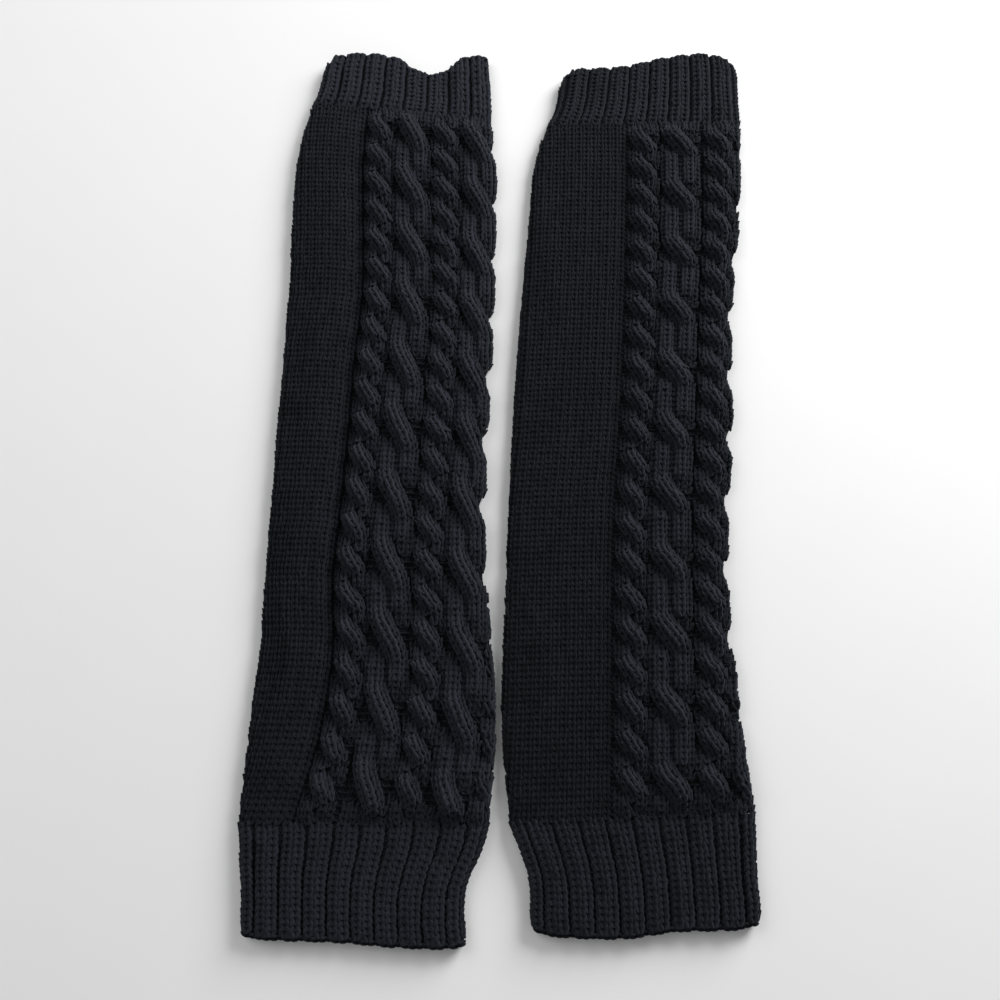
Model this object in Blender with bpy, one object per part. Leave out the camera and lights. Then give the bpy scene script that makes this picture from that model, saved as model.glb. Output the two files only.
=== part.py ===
"""A pair of cable-knit arm warmers, laid flat side by side.

Each warmer is a knitted tube pressed flat: a body with a plain panel and a band
of twisted cables, and a ribbed cuff at each end. The cables and ribs stand on
the outer face of the wall, the inside is plain, and the underside rests flat.
X runs across the pair, Y along the warmers and Z up from the surface.
"""

import math
from collections import namedtuple

import bmesh
import bpy

MM = 0.001

# Cloth, in millimetres: the wall, the space between front and back, the gap
# between two pieces at a seam, and both layers together
WALL = 2.9
LINING_GAP = 0.6
SEAM_GAP = 0.3
PLAIN_HEIGHT = 2 * WALL + LINING_GAP

# Folds at the two sides, in millimetres: how far the foot tucks in under the
# edge, heights of the edge's lowest and highest point, and how wide each rounds
FOLD_TUCK = 1.6
FOLD_EASE = 0.8
FOLD_MIDDLE = 2.5
FOLD_HEIGHT = 3.2
PLAIN_FOLD = 5.0
CABLE_FOLD = 7.0

# Soft ridge of the plain panel and dip beside the cables
FOLD_SHOULDER = 4.5
FOLD_STEEPNESS = 2.0
DIP_REACH = 5.0
RIDGE_FOOT = 2.0

# Knitting, in rows: a body, its first crossing, two crossings of each cable,
# and the rows over which the cables rise from a seam
BODY_ROWS = 130
FIRST_CROSSING = 5
NARROW_PITCH = 6
WIDE_PITCH = 12
CABLE_START = 2.5

# Cables: share of their height left at a seam, where the valley between a
# narrow and a wide one lies, the room kept right of the last valley, how far
# past the fold's cable the next one lies, and the width of a scallop in turns
CABLE_AT_SEAM = 0.2
VALLEY = 0.43
EDGE_ROOM = 4.5
FAR_CABLE = 15.6
SCALLOP = 0.3

# Mesh steps: knitted rows to a step, columns to each half of a cable, and how
# many steps the faces of the plain panel run over
ROWS_TO_A_STEP = 1.2
NARROW_COLUMNS = 3
WIDE_COLUMNS = 3
EDGE_COLUMNS = 3
PLAIN_STEPS = 5
PLAIN_COLUMNS = 8
LAST_STEP = 0.3

# Space inside, in millimetres: its distance from a fold, how wide it tapers
# there, its least height, and how far the cutter runs past a seam or a hem
SLIT_INSET = 3.5
SLIT_TAPER = 3.0
SLIT_LEAST = 0.4
SLIT_OVERRUN = 5.0
SLIT_STEPS = 16
CUFF_SLIT_STEPS = 3

# Ribs of a cuff, in millimetres where they are lengths
RIB_COLUMNS = 4
RIB_RISE = 0.7
RIB_DEPTH = 1.6
RIB_END_BUMP = 0.5
HEM_ROUNDING = 0.7
CUFF_STEPS = 4
CUFF_UNDER_COLUMNS = 12

# Shares of a cuff: where its ribs reach full height, how high they are at the
# seam, where the hem starts to round, and the margin free of ribs at a fold
RIB_START = 0.15
RIB_AT_SEAM = 0.3
HEM_START = 0.93
RIB_MARGIN = 0.02

SHARP_ANGLE = math.radians(50)

Rope = namedtuple("Rope", "reach half_width height lift pitch cross_share lag")
NARROW_ROPE = Rope(2.8, 4.1, 2.6, 2.5, NARROW_PITCH, 0.85, 0.0)
WIDE_ROPE = Rope(4.3, 4.6, 3.0, 2.5, WIDE_PITCH, 0.50, 0.0)
EDGE_ROPE = Rope(4.3, 4.6, 3.0, 2.5, WIDE_PITCH, 0.50, -1.5)

# Share of a crossing in which the back strand changes sides, under the front one
BACK_SHARE = 0.5

# Share of the pitch that the crossings of the wide ropes take on each warmer
LEFT_WIDE_SHARE = 0.80
RIGHT_WIDE_SHARE = 0.58

# One row for each station of a body, from its lower seam (share 0) to its
# upper one (share 1). Places are millimetres across from the middle of the
# pair. The groove is the left side of rope a. The fold is the soft ridge of the
# plain panel, with its height above the wall, and the dip lies at the groove.
# The scallop is how far the right edge draws in where its cable crosses.
Station = namedtuple(
    "Station", "share left fold groove a b c d right fold_height dip scallop"
)
LEFT_BODY = (
    Station(0.00, -110.0, -99.5, -87.0, -80.4, -60.6, -45.4, -28.6, -11.2, 0.6, 0.4, 0.2),
    Station(0.10, -108.6, -93.5, -78.6, -71.9, -55.2, -39.4, -23.4, -8.5, 2.2, 1.2, 0.4),
    Station(0.20, -106.7, -89.5, -74.8, -68.1, -53.0, -36.8, -21.4, -9.4, 3.1, 1.8, 0.6),
    Station(0.30, -106.2, -87.5, -76.4, -69.7, -53.4, -37.0, -21.2, -12.3, 3.1, 2.0, 1.0),
    Station(0.40, -105.9, -86.5, -74.4, -67.7, -52.4, -35.9, -20.6, -12.9, 2.9, 2.1, 2.4),
    Station(0.50, -105.6, -85.5, -72.6, -65.9, -50.8, -33.9, -18.6, -12.0, 2.7, 2.1, 2.6),
    Station(0.60, -104.9, -84.5, -71.4, -64.7, -49.4, -32.6, -18.2, -10.4, 2.6, 2.0, 2.4),
    Station(0.70, -104.4, -83.5, -69.2, -62.5, -47.4, -31.4, -17.6, -9.2, 2.6, 2.0, 1.6),
    Station(0.80, -105.1, -84.0, -70.2, -63.5, -48.0, -32.0, -17.0, -8.7, 2.6, 2.1, 1.3),
    Station(0.90, -104.9, -85.5, -71.6, -64.9, -49.2, -32.8, -16.6, -8.3, 2.2, 2.0, 1.3),
    Station(0.95, -102.7, -86.5, -71.2, -64.5, -49.0, -32.9, -17.0, -9.4, 1.5, 1.5, 0.9),
    Station(1.00, -99.2, -87.0, -70.2, -63.5, -48.6, -32.9, -17.4, -11.2, 0.6, 0.6, 0.3),
)
RIGHT_BODY = (
    Station(0.00, -3.2, 18.0, 38.2, 44.8, 60.3, 76.4, 92.6, 93.8, 0.3, 0.2, 0.2),
    Station(0.10, -6.2, 17.0, 39.4, 46.0, 61.7, 78.3, 94.6, 91.3, 0.7, 0.9, 0.4),
    Station(0.20, -5.8, 18.0, 40.5, 47.1, 63.1, 80.0, 96.4, 89.8, 0.8, 1.1, 1.2),
    Station(0.30, -4.5, 19.0, 41.6, 48.2, 64.2, 81.5, 98.0, 90.0, 0.8, 1.2, 2.4),
    Station(0.40, -3.5, 20.0, 43.4, 50.0, 65.8, 83.3, 99.8, 92.5, 0.8, 1.2, 2.4),
    Station(0.50, -1.8, 22.0, 46.6, 53.2, 68.6, 86.3, 102.8, 96.0, 0.8, 1.2, 2.4),
    Station(0.60, 0.1, 24.0, 49.2, 55.8, 71.2, 88.9, 105.4, 97.8, 0.8, 1.2, 2.2),
    Station(0.70, 2.5, 26.0, 51.4, 58.0, 74.0, 91.6, 108.2, 100.4, 0.8, 1.2, 1.8),
    Station(0.80, 5.5, 28.0, 53.2, 59.8, 77.0, 94.6, 111.2, 104.8, 0.8, 1.2, 1.0),
    Station(0.90, 8.2, 30.0, 54.8, 61.4, 78.8, 97.0, 113.6, 108.4, 0.7, 1.0, 0.6),
    Station(0.95, 10.6, 32.0, 55.4, 62.0, 79.4, 98.0, 114.6, 109.4, 0.5, 0.7, 0.4),
    Station(1.00, 15.8, 34.0, 55.9, 62.5, 80.0, 98.8, 115.4, 110.2, 0.3, 0.3, 0.2),
)

# Seam lines, millimetres along from the middle of the pair, left and right end
Seam = namedtuple("Seam", "left right")
LEFT_LOWER_SEAM = Seam(-163.0, -163.4)
LEFT_UPPER_SEAM = Seam(172.5, 162.0)
RIGHT_LOWER_SEAM = Seam(-162.8, -159.2)
RIGHT_UPPER_SEAM = Seam(159.6, 160.8)

# Edges of a cuff, one row for each station from its seam to its hem
Edge = namedtuple("Edge", "share left right")
LEFT_UPPER_EDGES = (
    Edge(0.0, -99.2, -11.2), Edge(0.25, -97.0, -11.4), Edge(0.5, -96.0, -11.8),
    Edge(0.75, -95.1, -12.4), Edge(1.0, -93.6, -12.8),
)
RIGHT_UPPER_EDGES = (
    Edge(0.0, 15.8, 110.2), Edge(0.2, 18.8, 110.1), Edge(0.5, 21.2, 110.2),
    Edge(0.8, 22.6, 110.4), Edge(1.0, 24.2, 109.8),
)
LEFT_LOWER_EDGES = (
    Edge(0.0, -110.0, -11.2), Edge(0.14, -109.2, -12.8), Edge(0.25, -108.8, -14.6),
    Edge(0.42, -108.1, -18.2), Edge(0.58, -107.2, -20.4), Edge(0.8, -106.6, -20.6),
    Edge(1.0, -106.2, -19.6),
)
RIGHT_LOWER_EDGES = (
    Edge(0.0, -3.2, 93.8), Edge(0.1, -1.8, 93.6), Edge(0.2, -0.2, 93.4),
    Edge(0.45, 3.5, 92.9), Edge(0.65, 4.6, 92.9), Edge(0.85, 4.5, 93.2),
    Edge(1.0, 5.2, 92.4),
)

# Hems, one row for each place across a cuff, millimetres along
Hem = namedtuple("Hem", "share along")
LEFT_UPPER_HEM = (
    Hem(0.0, 193.4), Hem(0.07, 200.2), Hem(0.26, 202.0), Hem(0.45, 198.8),
    Hem(0.56, 192.0), Hem(0.68, 190.4), Hem(0.78, 194.8), Hem(0.86, 200.0),
    Hem(0.97, 200.4), Hem(1.0, 199.0),
)
RIGHT_UPPER_HEM = (
    Hem(0.0, 187.0), Hem(0.04, 191.0), Hem(0.1, 192.6), Hem(0.34, 194.0),
    Hem(0.57, 199.0), Hem(0.78, 201.8), Hem(0.88, 200.8), Hem(0.97, 197.4),
    Hem(1.0, 195.0),
)
LEFT_LOWER_HEM = (
    Hem(0.0, -203.0), Hem(0.06, -204.8), Hem(0.45, -206.2), Hem(0.7, -207.9),
    Hem(0.95, -208.2), Hem(1.0, -206.0),
)
RIGHT_LOWER_HEM = (
    Hem(0.0, -201.6), Hem(0.07, -203.8), Hem(0.4, -204.8), Hem(0.62, -202.4),
    Hem(0.9, -201.6), Hem(1.0, -199.6),
)

# Ribs of each cuff: how many lie across it, and where the first valley lies
# from its left edge, in ribs
RibSet = namedtuple("RibSet", "count first")
LEFT_UPPER_RIBS = RibSet(7.9, 1.0)
RIGHT_UPPER_RIBS = RibSet(8.7, 0.4)
LEFT_LOWER_RIBS = RibSet(9.4, 0.62)
RIGHT_LOWER_RIBS = RibSet(9.2, 0.56)

# Looks of the yarn: black with a little navy, matt
YARN_BODY = (0.0095, 0.0105, 0.0135, 1.0)
YARN_CUFF = (0.0120, 0.0135, 0.0175, 1.0)
YARN_ROUGHNESS = 0.95


def mix(start, end, share):
    """Value that lies the given share of the way from start to end."""
    return start + (end - start) * share


def smooth(share):
    """Share eased at both ends."""
    share = min(max(share, 0.0), 1.0)
    return share * share * (3.0 - 2.0 * share)


def rounded(inset, radius):
    """Share of the full height near a fold, 0 on its edge and 1 past a radius."""
    reach = 1.0 - min(max(inset / radius, 0.0), 1.0)
    return math.sqrt(1.0 - reach * reach)


def bump(distance, width):
    """Rounded hill of height 1 that reaches 0 at the given width."""
    reach = min(abs(distance) / width, 1.0)
    return 0.5 + 0.5 * math.cos(math.pi * reach)


def along_table(table, share, column):
    """Value of a column at a share of the table's length, on a smooth curve."""
    last = len(table) - 1
    index = 0
    while index < last - 1 and table[index + 1].share < share:
        index += 1
    below, above = table[index], table[index + 1]
    step = above.share - below.share
    place = (share - below.share) / step
    value = getattr(below, column)
    end = getattr(above, column)
    before = table[max(index - 1, 0)]
    after = table[min(index + 2, last)]
    slope_in = (end - getattr(before, column)) / (above.share - before.share) * step
    slope_out = (getattr(after, column) - value) / (after.share - below.share) * step
    square, cube = place ** 2, place ** 3
    return (
        (2 * cube - 3 * square + 1) * value
        + (cube - 2 * square + place) * slope_in
        + (3 * square - 2 * cube) * end
        + (cube - square) * slope_out
    )


def swing(rope, local, half):
    """Offset and slope in rows of a strand that changes sides within a half."""
    reach = local / half
    if abs(reach) >= 1.0:
        return math.copysign(rope.reach, reach), 0.0
    slope = rope.reach * math.cos(reach * math.pi / 2) * math.pi / 2 / (half * rope.pitch)
    return rope.reach * math.sin(reach * math.pi / 2), slope


def strands(rope, row):
    """Offset, slope in rows and lift of the front and the back strand."""
    turns = (row - FIRST_CROSSING - rope.lag) / rope.pitch
    local = turns - math.floor(turns + 0.5)
    half = rope.cross_share / 2
    front, front_slope = swing(rope, local, half)
    back, back_slope = swing(rope, local, half * BACK_SHARE)
    lift = rope.lift * (1.0 - min(abs(local) / half, 1.0) ** 2)
    return (-front, front_slope, lift), (back, back_slope, -lift)


def rope_relief(rope, offset, row, row_length):
    """Height of a two-strand rope over the wall at an offset from its middle."""
    height = 0.0
    for middle, slope, lift in strands(rope, row):
        lean = math.atan(slope / row_length)
        distance = abs(offset - middle) * math.cos(lean) / rope.half_width
        if distance < 1.0:
            rise = rope.height * math.sqrt(1.0 - distance ** 2)
            rise += lift * (1.0 - distance ** 2)
            height = max(height, rise)
    return height


class Body:
    """Body of one warmer: its table, its seams and its outer surface."""

    sparse_columns = PLAIN_COLUMNS

    def __init__(self, name, table, lower, upper, wide_share):
        self.name = name
        self.table = table
        self.lower = lower
        self.upper = upper
        self.wide_rope = WIDE_ROPE._replace(cross_share=wide_share)
        self.edge_rope = EDGE_ROPE._replace(cross_share=wide_share)

    def at(self, share, column):
        """Value of a column of the table."""
        return along_table(self.table, share, column)

    def seam_y(self, seam, x, share):
        """Place of a seam line at a place across."""
        left = self.at(share, "left")
        right = self.at(share, "right")
        across = (x - left) / (right - left)
        return mix(seam.left, seam.right, min(max(across, 0.0), 1.0))

    def along(self, x, share):
        """Place along the warmer of a share of its rows, clear of the seams."""
        low = self.seam_y(self.lower, x, share) + SEAM_GAP / 2
        high = self.seam_y(self.upper, x, share) - SEAM_GAP / 2
        return mix(low, high, share)

    def edge(self, share):
        """Right edge, drawn in where the cable on the fold crosses."""
        turns = (share * BODY_ROWS - FIRST_CROSSING - EDGE_ROPE.lag) / WIDE_PITCH
        local = turns - math.floor(turns + 0.5)
        return self.at(share, "right") - self.at(share, "scallop") * bump(local, SCALLOP)

    def wall_height(self, x, share):
        """Height of the wall without cables: the soft fold and the dip."""
        groove = self.at(share, "groove")
        fold = self.at(share, "fold")
        if x < fold:
            swell = bump(x - fold, fold - self.at(share, "left"))
        else:
            swell = bump(min((x - fold) / (groove - fold), 1.0) ** FOLD_STEEPNESS, 1.0)
        height = PLAIN_HEIGHT + self.at(share, "fold_height") * swell
        return height - self.at(share, "dip") * bump(x - groove, DIP_REACH)

    def ropes(self, share):
        """Middle and form of each cable, the last ones wrapping the fold."""
        d = self.at(share, "d")
        return (
            (self.at(share, "a"), NARROW_ROPE),
            (self.at(share, "b"), self.wide_rope),
            (self.at(share, "c"), NARROW_ROPE),
            (d, self.edge_rope),
            (d + FAR_CABLE, NARROW_ROPE),
        )

    def top_height(self, x, share):
        """Height of the outer face, cables included, rounded at the folds."""
        row_length = (self.upper.left - self.lower.left) / BODY_ROWS
        row = share * BODY_ROWS
        relief = 0.0
        for middle, rope in self.ropes(share):
            relief = max(relief, rope_relief(rope, x - middle, row, row_length))
        fade = smooth(min(share, 1.0 - share) * BODY_ROWS / CABLE_START)
        height = self.wall_height(x, share) + relief * mix(CABLE_AT_SEAM, 1.0, fade)
        sides = rounded(x - self.at(share, "left"), PLAIN_FOLD)
        sides = min(sides, rounded(self.edge(share) - x, CABLE_FOLD))
        return mix(FOLD_HEIGHT, height, sides)

    def places(self, share):
        """Places across the outer face, closer together on the cables."""
        left = self.at(share, "left")
        right = self.edge(share) - FOLD_EASE
        fold, groove = self.at(share, "fold"), self.at(share, "groove")
        a, b, c, d = (self.at(share, name) for name in "abcd")
        last_valley = min(mix(c, d, VALLEY), right - EDGE_ROOM)
        marks = (
            groove, a, mix(a, b, VALLEY), b, mix(c, b, VALLEY), c, last_valley,
            mix(last_valley, right, 0.5), right,
        )
        counts = (NARROW_COLUMNS, NARROW_COLUMNS, WIDE_COLUMNS, WIDE_COLUMNS)
        counts += (NARROW_COLUMNS, NARROW_COLUMNS, EDGE_COLUMNS, EDGE_COLUMNS)
        shoulder = left + FOLD_SHOULDER
        places = [left + FOLD_EASE, shoulder, mix(shoulder, fold, 0.5), fold]
        places += [mix(fold, groove, 0.5), groove - RIDGE_FOOT]
        for start, end, count in zip(marks, marks[1:], counts):
            places += [mix(start, end, step / count) for step in range(count)]
        return places + [right]

    def ring(self, share):
        """Points around the section at a share of the rows, from the left foot."""
        left = self.at(share, "left")
        right = self.edge(share)
        points = [(left + FOLD_TUCK, 0.0), (left, FOLD_MIDDLE)]
        points += [(x, self.top_height(x, share)) for x in self.places(share)]
        points += [(right, FOLD_MIDDLE), (right - FOLD_TUCK, 0.0)]
        return [(x, self.along(x, share), z) for x, z in points]

    def rings(self):
        """Sections of the body from its lower seam to its upper one."""
        steps = round(BODY_ROWS / ROWS_TO_A_STEP)
        first = (FIRST_CROSSING / ROWS_TO_A_STEP) % 1.0
        shares = [0.0]
        for step in range(steps + 1):
            share = (step + first) * ROWS_TO_A_STEP / BODY_ROWS
            if share < 1.0 - LAST_STEP / BODY_ROWS:
                shares.append(share)
        return [self.ring(share) for share in shares + [1.0]]

    def slit_ring(self, share, y_shift):
        """Section of the space inside, a wall's thickness under the outer face."""
        left = self.at(share, "left") + SLIT_INSET
        right = self.edge(share) - SLIT_INSET
        start, end = left + SLIT_TAPER, right - SLIT_TAPER
        fold = self.at(share, "fold")
        groove = self.at(share, "groove")
        points = [(left, WALL + LINING_GAP / 2)]
        for x in (start, fold, mix(fold, groove, 0.5), groove, groove + DIP_REACH, end):
            roof = max(self.wall_height(x, share) - WALL, WALL + SLIT_LEAST)
            points.append((x, roof))
        points += [(right, WALL + LINING_GAP / 2), (end, WALL), (start, WALL)]
        return [(x, self.along(x, share) + y_shift, z) for x, z in points]

    def slit_rings(self):
        """Sections of the space inside, run out past both seams."""
        rings = [self.slit_ring(0.0, -SLIT_OVERRUN)]
        rings += [self.slit_ring(step / SLIT_STEPS, 0.0) for step in range(SLIT_STEPS + 1)]
        return rings + [self.slit_ring(1.0, SLIT_OVERRUN)]


class Cuff:
    """Ribbed cuff of one warmer, from its seam with the body to its hem."""

    sparse_columns = 0

    def __init__(self, name, edges, seam, hem, ribs):
        self.name = name
        self.edges = edges
        self.seam = seam
        self.hem = hem
        self.ribs = ribs
        self.outward = 1 if hem[0].along > seam.left else -1

    def sides(self, share):
        """Left and right edge at a share of the way from seam to hem."""
        left = along_table(self.edges, share, "left")
        right = along_table(self.edges, share, "right")
        return left, right

    def rib(self, across):
        """Height of the ribs, 1 on a ridge and 0 in a valley."""
        phase = across * self.ribs.count - self.ribs.first
        local = abs(phase - math.floor(phase) - 0.5) * 2.0
        return 1.0 - local ** 3

    def along(self, across, share):
        """Place along the warmer at a place across and a share to the hem."""
        start = mix(self.seam.left, self.seam.right, across) + self.outward * SEAM_GAP / 2
        end = along_table(self.hem, across, "along")
        end += self.outward * RIB_END_BUMP * (self.rib(across) - 1.0)
        return mix(start, end, share)

    def point(self, across, share, z):
        """Point at a place across (0 left, 1 right), a share and a height."""
        left, right = self.sides(share)
        return mix(left, right, across), self.along(across, share), z

    def top_height(self, across, share):
        """Height of the outer face, ribs included, rounded at folds and hem."""
        left, right = self.sides(share)
        rise = RIB_RISE - RIB_DEPTH * (1.0 - self.rib(across))
        height = PLAIN_HEIGHT + rise * mix(RIB_AT_SEAM, 1.0, smooth(share / RIB_START))
        height -= HEM_ROUNDING * smooth((share - HEM_START) / (1.0 - HEM_START))
        inset = min(across, 1.0 - across) * (right - left)
        return mix(FOLD_HEIGHT, height, rounded(inset, PLAIN_FOLD))

    def ring(self, share):
        """Points around the section at a share of the way to the hem."""
        left, right = self.sides(share)
        width = right - left
        tuck, ease = FOLD_TUCK / width, FOLD_EASE / width
        tops = [ease]
        for step in range(round((self.ribs.count + 1) * RIB_COLUMNS)):
            place = (step / RIB_COLUMNS + self.ribs.first - 1.0) / self.ribs.count
            if RIB_MARGIN < place < 1.0 - RIB_MARGIN:
                tops.append(place)
        tops.append(1.0 - ease)
        unders = [
            mix(1.0 - tuck, tuck, step / CUFF_UNDER_COLUMNS)
            for step in range(1, CUFF_UNDER_COLUMNS)
        ]
        points = [self.point(tuck, share, 0.0), self.point(0.0, share, FOLD_MIDDLE)]
        points += [self.point(place, share, self.top_height(place, share)) for place in tops]
        points += [self.point(1.0, share, FOLD_MIDDLE), self.point(1.0 - tuck, share, 0.0)]
        points += [self.point(place, share, 0.0) for place in unders]
        return points

    def rings(self):
        """Sections of the cuff from its seam to its hem."""
        shares = [HEM_START * step / CUFF_STEPS for step in range(CUFF_STEPS + 1)]
        return [self.ring(share) for share in shares + [1.0]]

    def slit_ring(self, share, y_shift):
        """Section of the space inside the cuff."""
        left, right = self.sides(share)
        inset = SLIT_INSET / (right - left)
        bend = inset + SLIT_TAPER / (right - left)
        middle = WALL + LINING_GAP / 2
        roof = WALL + LINING_GAP
        outline = [(inset, middle), (bend, roof), (0.5, roof), (1.0 - bend, roof)]
        outline += [(1.0 - inset, middle), (1.0 - bend, WALL), (0.5, WALL), (bend, WALL)]
        points = []
        for across, z in outline:
            x = mix(left, right, across)
            points.append((x, self.along(across, share) + y_shift, z))
        return points

    def slit_rings(self):
        """Sections of the space inside, run out past the seam and the hem."""
        overrun = self.outward * SLIT_OVERRUN
        shares = [step / CUFF_SLIT_STEPS for step in range(CUFF_SLIT_STEPS + 1)]
        rings = [self.slit_ring(0.0, -overrun)]
        rings += [self.slit_ring(share, 0.0) for share in shares]
        return rings + [self.slit_ring(1.0, overrun)]


def yarn_material(name, colour):
    """Matt yarn of one colour."""
    material = bpy.data.materials.new(name)
    material.use_nodes = True
    shader = material.node_tree.nodes["Principled BSDF"]
    shader.inputs["Base Color"].default_value = colour
    shader.inputs["Roughness"].default_value = YARN_ROUGHNESS
    shader.inputs["Metallic"].default_value = 0.0
    return material


def tube_mesh(name, rings, middle, sparse_columns=0):
    """Closed mesh through rings of equal counts, shifted by the pair's middle.

    Where a number of sparse columns is given, the faces of those first columns,
    and of the underside, run over several rings.
    """
    around, steps = len(rings[0]), len(rings) - 1
    mesh = bpy.data.meshes.new(name)
    bm = bmesh.new()
    bmesh.ops.create_grid(bm, x_segments=around, y_segments=steps, size=0.5)
    merged = []
    for edge in bm.edges:
        start, end = (vertex.co for vertex in edge.verts)
        column = min(start.x, end.x)
        row = (start.y + 0.5) * steps
        level = abs(start.y - end.y) < 0.1 / steps
        inside = 0.5 < row < steps - 0.5 and round(row) % PLAIN_STEPS
        strip = round((column + 0.5) * around)
        sparse = strip < sparse_columns or (sparse_columns and strip == around - 1)
        if level and inside and sparse:
            merged.append(edge)
    for vertex in bm.verts:
        column = round((vertex.co.x + 0.5) * around)
        row = round((vertex.co.y + 0.5) * steps)
        x, y, z = rings[row][column % around]
        vertex.co = ((x - middle[0]) * MM, (y - middle[1]) * MM, z * MM)
    bmesh.ops.dissolve_edges(bm, edges=merged, use_verts=True)
    bmesh.ops.remove_doubles(bm, verts=bm.verts, dist=0.00001)
    bmesh.ops.holes_fill(bm, edges=bm.edges, sides=0)
    bmesh.ops.recalc_face_normals(bm, faces=bm.faces)
    bmesh.ops.triangulate(bm, faces=bm.faces, quad_method="ALTERNATE", ngon_method="BEAUTY")
    bm.to_mesh(mesh)
    bm.free()
    return mesh


def add_piece(piece, middle, material, parts, cutters):
    """Solid of a piece, hollowed by the space inside it."""
    outer = tube_mesh(piece.name, piece.rings(), middle, piece.sparse_columns)
    outer.materials.append(material)
    outer.shade_smooth()
    outer.set_sharp_from_angle(angle=SHARP_ANGLE)
    solid = bpy.data.objects.new(piece.name, outer)
    parts.objects.link(solid)
    inner = tube_mesh(piece.name + "_space", piece.slit_rings(), middle)
    space = bpy.data.objects.new(piece.name + "_space", inner)
    space.hide_render = True
    space.display_type = "WIRE"
    cutters.objects.link(space)
    hollow = solid.modifiers.new("space", "BOOLEAN")
    hollow.operation = "DIFFERENCE"
    hollow.solver = "EXACT"
    hollow.object = space
    return solid


def warmer_pieces():
    """All six pieces of the pair."""
    return [
        Body(
            "left_body", LEFT_BODY, LEFT_LOWER_SEAM, LEFT_UPPER_SEAM, LEFT_WIDE_SHARE
        ),
        Body(
            "right_body", RIGHT_BODY, RIGHT_LOWER_SEAM, RIGHT_UPPER_SEAM, RIGHT_WIDE_SHARE
        ),
        Cuff(
            "left_upper_cuff", LEFT_UPPER_EDGES,
            LEFT_UPPER_SEAM, LEFT_UPPER_HEM, LEFT_UPPER_RIBS,
        ),
        Cuff(
            "left_lower_cuff", LEFT_LOWER_EDGES,
            LEFT_LOWER_SEAM, LEFT_LOWER_HEM, LEFT_LOWER_RIBS,
        ),
        Cuff(
            "right_upper_cuff", RIGHT_UPPER_EDGES,
            RIGHT_UPPER_SEAM, RIGHT_UPPER_HEM, RIGHT_UPPER_RIBS,
        ),
        Cuff(
            "right_lower_cuff", RIGHT_LOWER_EDGES,
            RIGHT_LOWER_SEAM, RIGHT_LOWER_HEM, RIGHT_LOWER_RIBS,
        ),
    ]


def middle_of(pieces):
    """Middle across and along of all the pieces' points."""
    points = [point for piece in pieces for ring in piece.rings() for point in ring]
    across = [point[0] for point in points]
    along = [point[1] for point in points]
    return (min(across) + max(across)) / 2, (min(along) + max(along)) / 2


def main():
    """Build both warmers, standing on Z 0 with the pair's middle at X 0, Y 0."""
    for thing in list(bpy.data.objects):
        bpy.data.objects.remove(thing, do_unlink=True)
    parts = bpy.data.collections.new("arm_warmers")
    cutters = bpy.data.collections.new("cutters")
    for collection in (parts, cutters):
        bpy.context.scene.collection.children.link(collection)

    pieces = warmer_pieces()
    middle = middle_of(pieces)
    for piece in pieces:
        colour = YARN_BODY if isinstance(piece, Body) else YARN_CUFF
        material = yarn_material(piece.name + "_yarn", colour)
        add_piece(piece, middle, material, parts, cutters)


main()
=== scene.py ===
"""Looks for a pair of cable-knit arm warmers that lie flat side by side.

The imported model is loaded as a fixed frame, and the knitting is laid over it:
each body and each cuff is a thin tube of cloth with soft creases, with stitches
of real size knitted over it in plied yarn, and a cast-off edge round each hem.
Sizes are millimetres, X across and Y along the pair, unless a name says metres.
"""

import logging
import math
from dataclasses import dataclass, field, replace
from enum import Enum
from typing import Any

import bpy
import numpy as np
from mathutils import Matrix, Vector
from mathutils.bvhtree import BVHTree


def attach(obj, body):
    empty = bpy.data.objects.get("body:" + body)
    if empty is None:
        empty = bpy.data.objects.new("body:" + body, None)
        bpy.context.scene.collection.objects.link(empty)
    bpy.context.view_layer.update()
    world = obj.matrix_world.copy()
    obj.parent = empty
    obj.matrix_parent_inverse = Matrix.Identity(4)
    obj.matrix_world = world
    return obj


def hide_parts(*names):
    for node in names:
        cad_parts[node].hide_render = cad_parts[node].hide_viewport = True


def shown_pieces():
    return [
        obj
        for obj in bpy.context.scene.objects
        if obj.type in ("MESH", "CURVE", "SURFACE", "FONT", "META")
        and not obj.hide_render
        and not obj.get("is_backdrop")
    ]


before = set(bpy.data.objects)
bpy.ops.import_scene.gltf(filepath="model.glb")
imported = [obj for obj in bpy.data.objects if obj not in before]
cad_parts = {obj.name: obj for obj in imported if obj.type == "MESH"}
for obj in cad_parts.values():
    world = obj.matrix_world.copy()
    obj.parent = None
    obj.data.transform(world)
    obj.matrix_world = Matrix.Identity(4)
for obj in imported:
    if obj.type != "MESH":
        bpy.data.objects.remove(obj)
LOG = logging.getLogger("arm_warmers")
Array = np.ndarray
Dice = np.random.Generator
Colour = tuple[float, float, float]

MM = 0.001
SEED = 7

# Where the middle of the pair lies in the tables below
MIDDLE = (0.1965, -3.1707)


# Sizes of the cloth and the knitting


@dataclass(frozen=True)
class Cloth:
    """Sizes that every knitted piece shares.

    The cloth lies under the crests of its stitches by its sink. The tuck is how far
    a fold's foot lies in under its edge, its middle is the height of its outermost
    point, and the slit is the space inside.
    """

    wall: float = 2.9
    least_wall: float = 0.4
    lining_gap: float = 0.6
    seam_gap: float = 0.3
    sink: float = 1.0
    wale: float = 3.5
    row: float = 2.55
    tuck: float = 1.6
    fold_middle: float = 2.5
    fold_height: float = 3.2
    plain_fold: float = 5.0
    cable_fold: float = 7.0
    slit_inset: float = 3.5
    slit_taper: float = 3.0
    slit_least: float = 0.4
    slit_touch: float = 0.05

    @property
    def height(self) -> float:
        """Height of both layers together."""
        return 2 * self.wall + self.lining_gap


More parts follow.
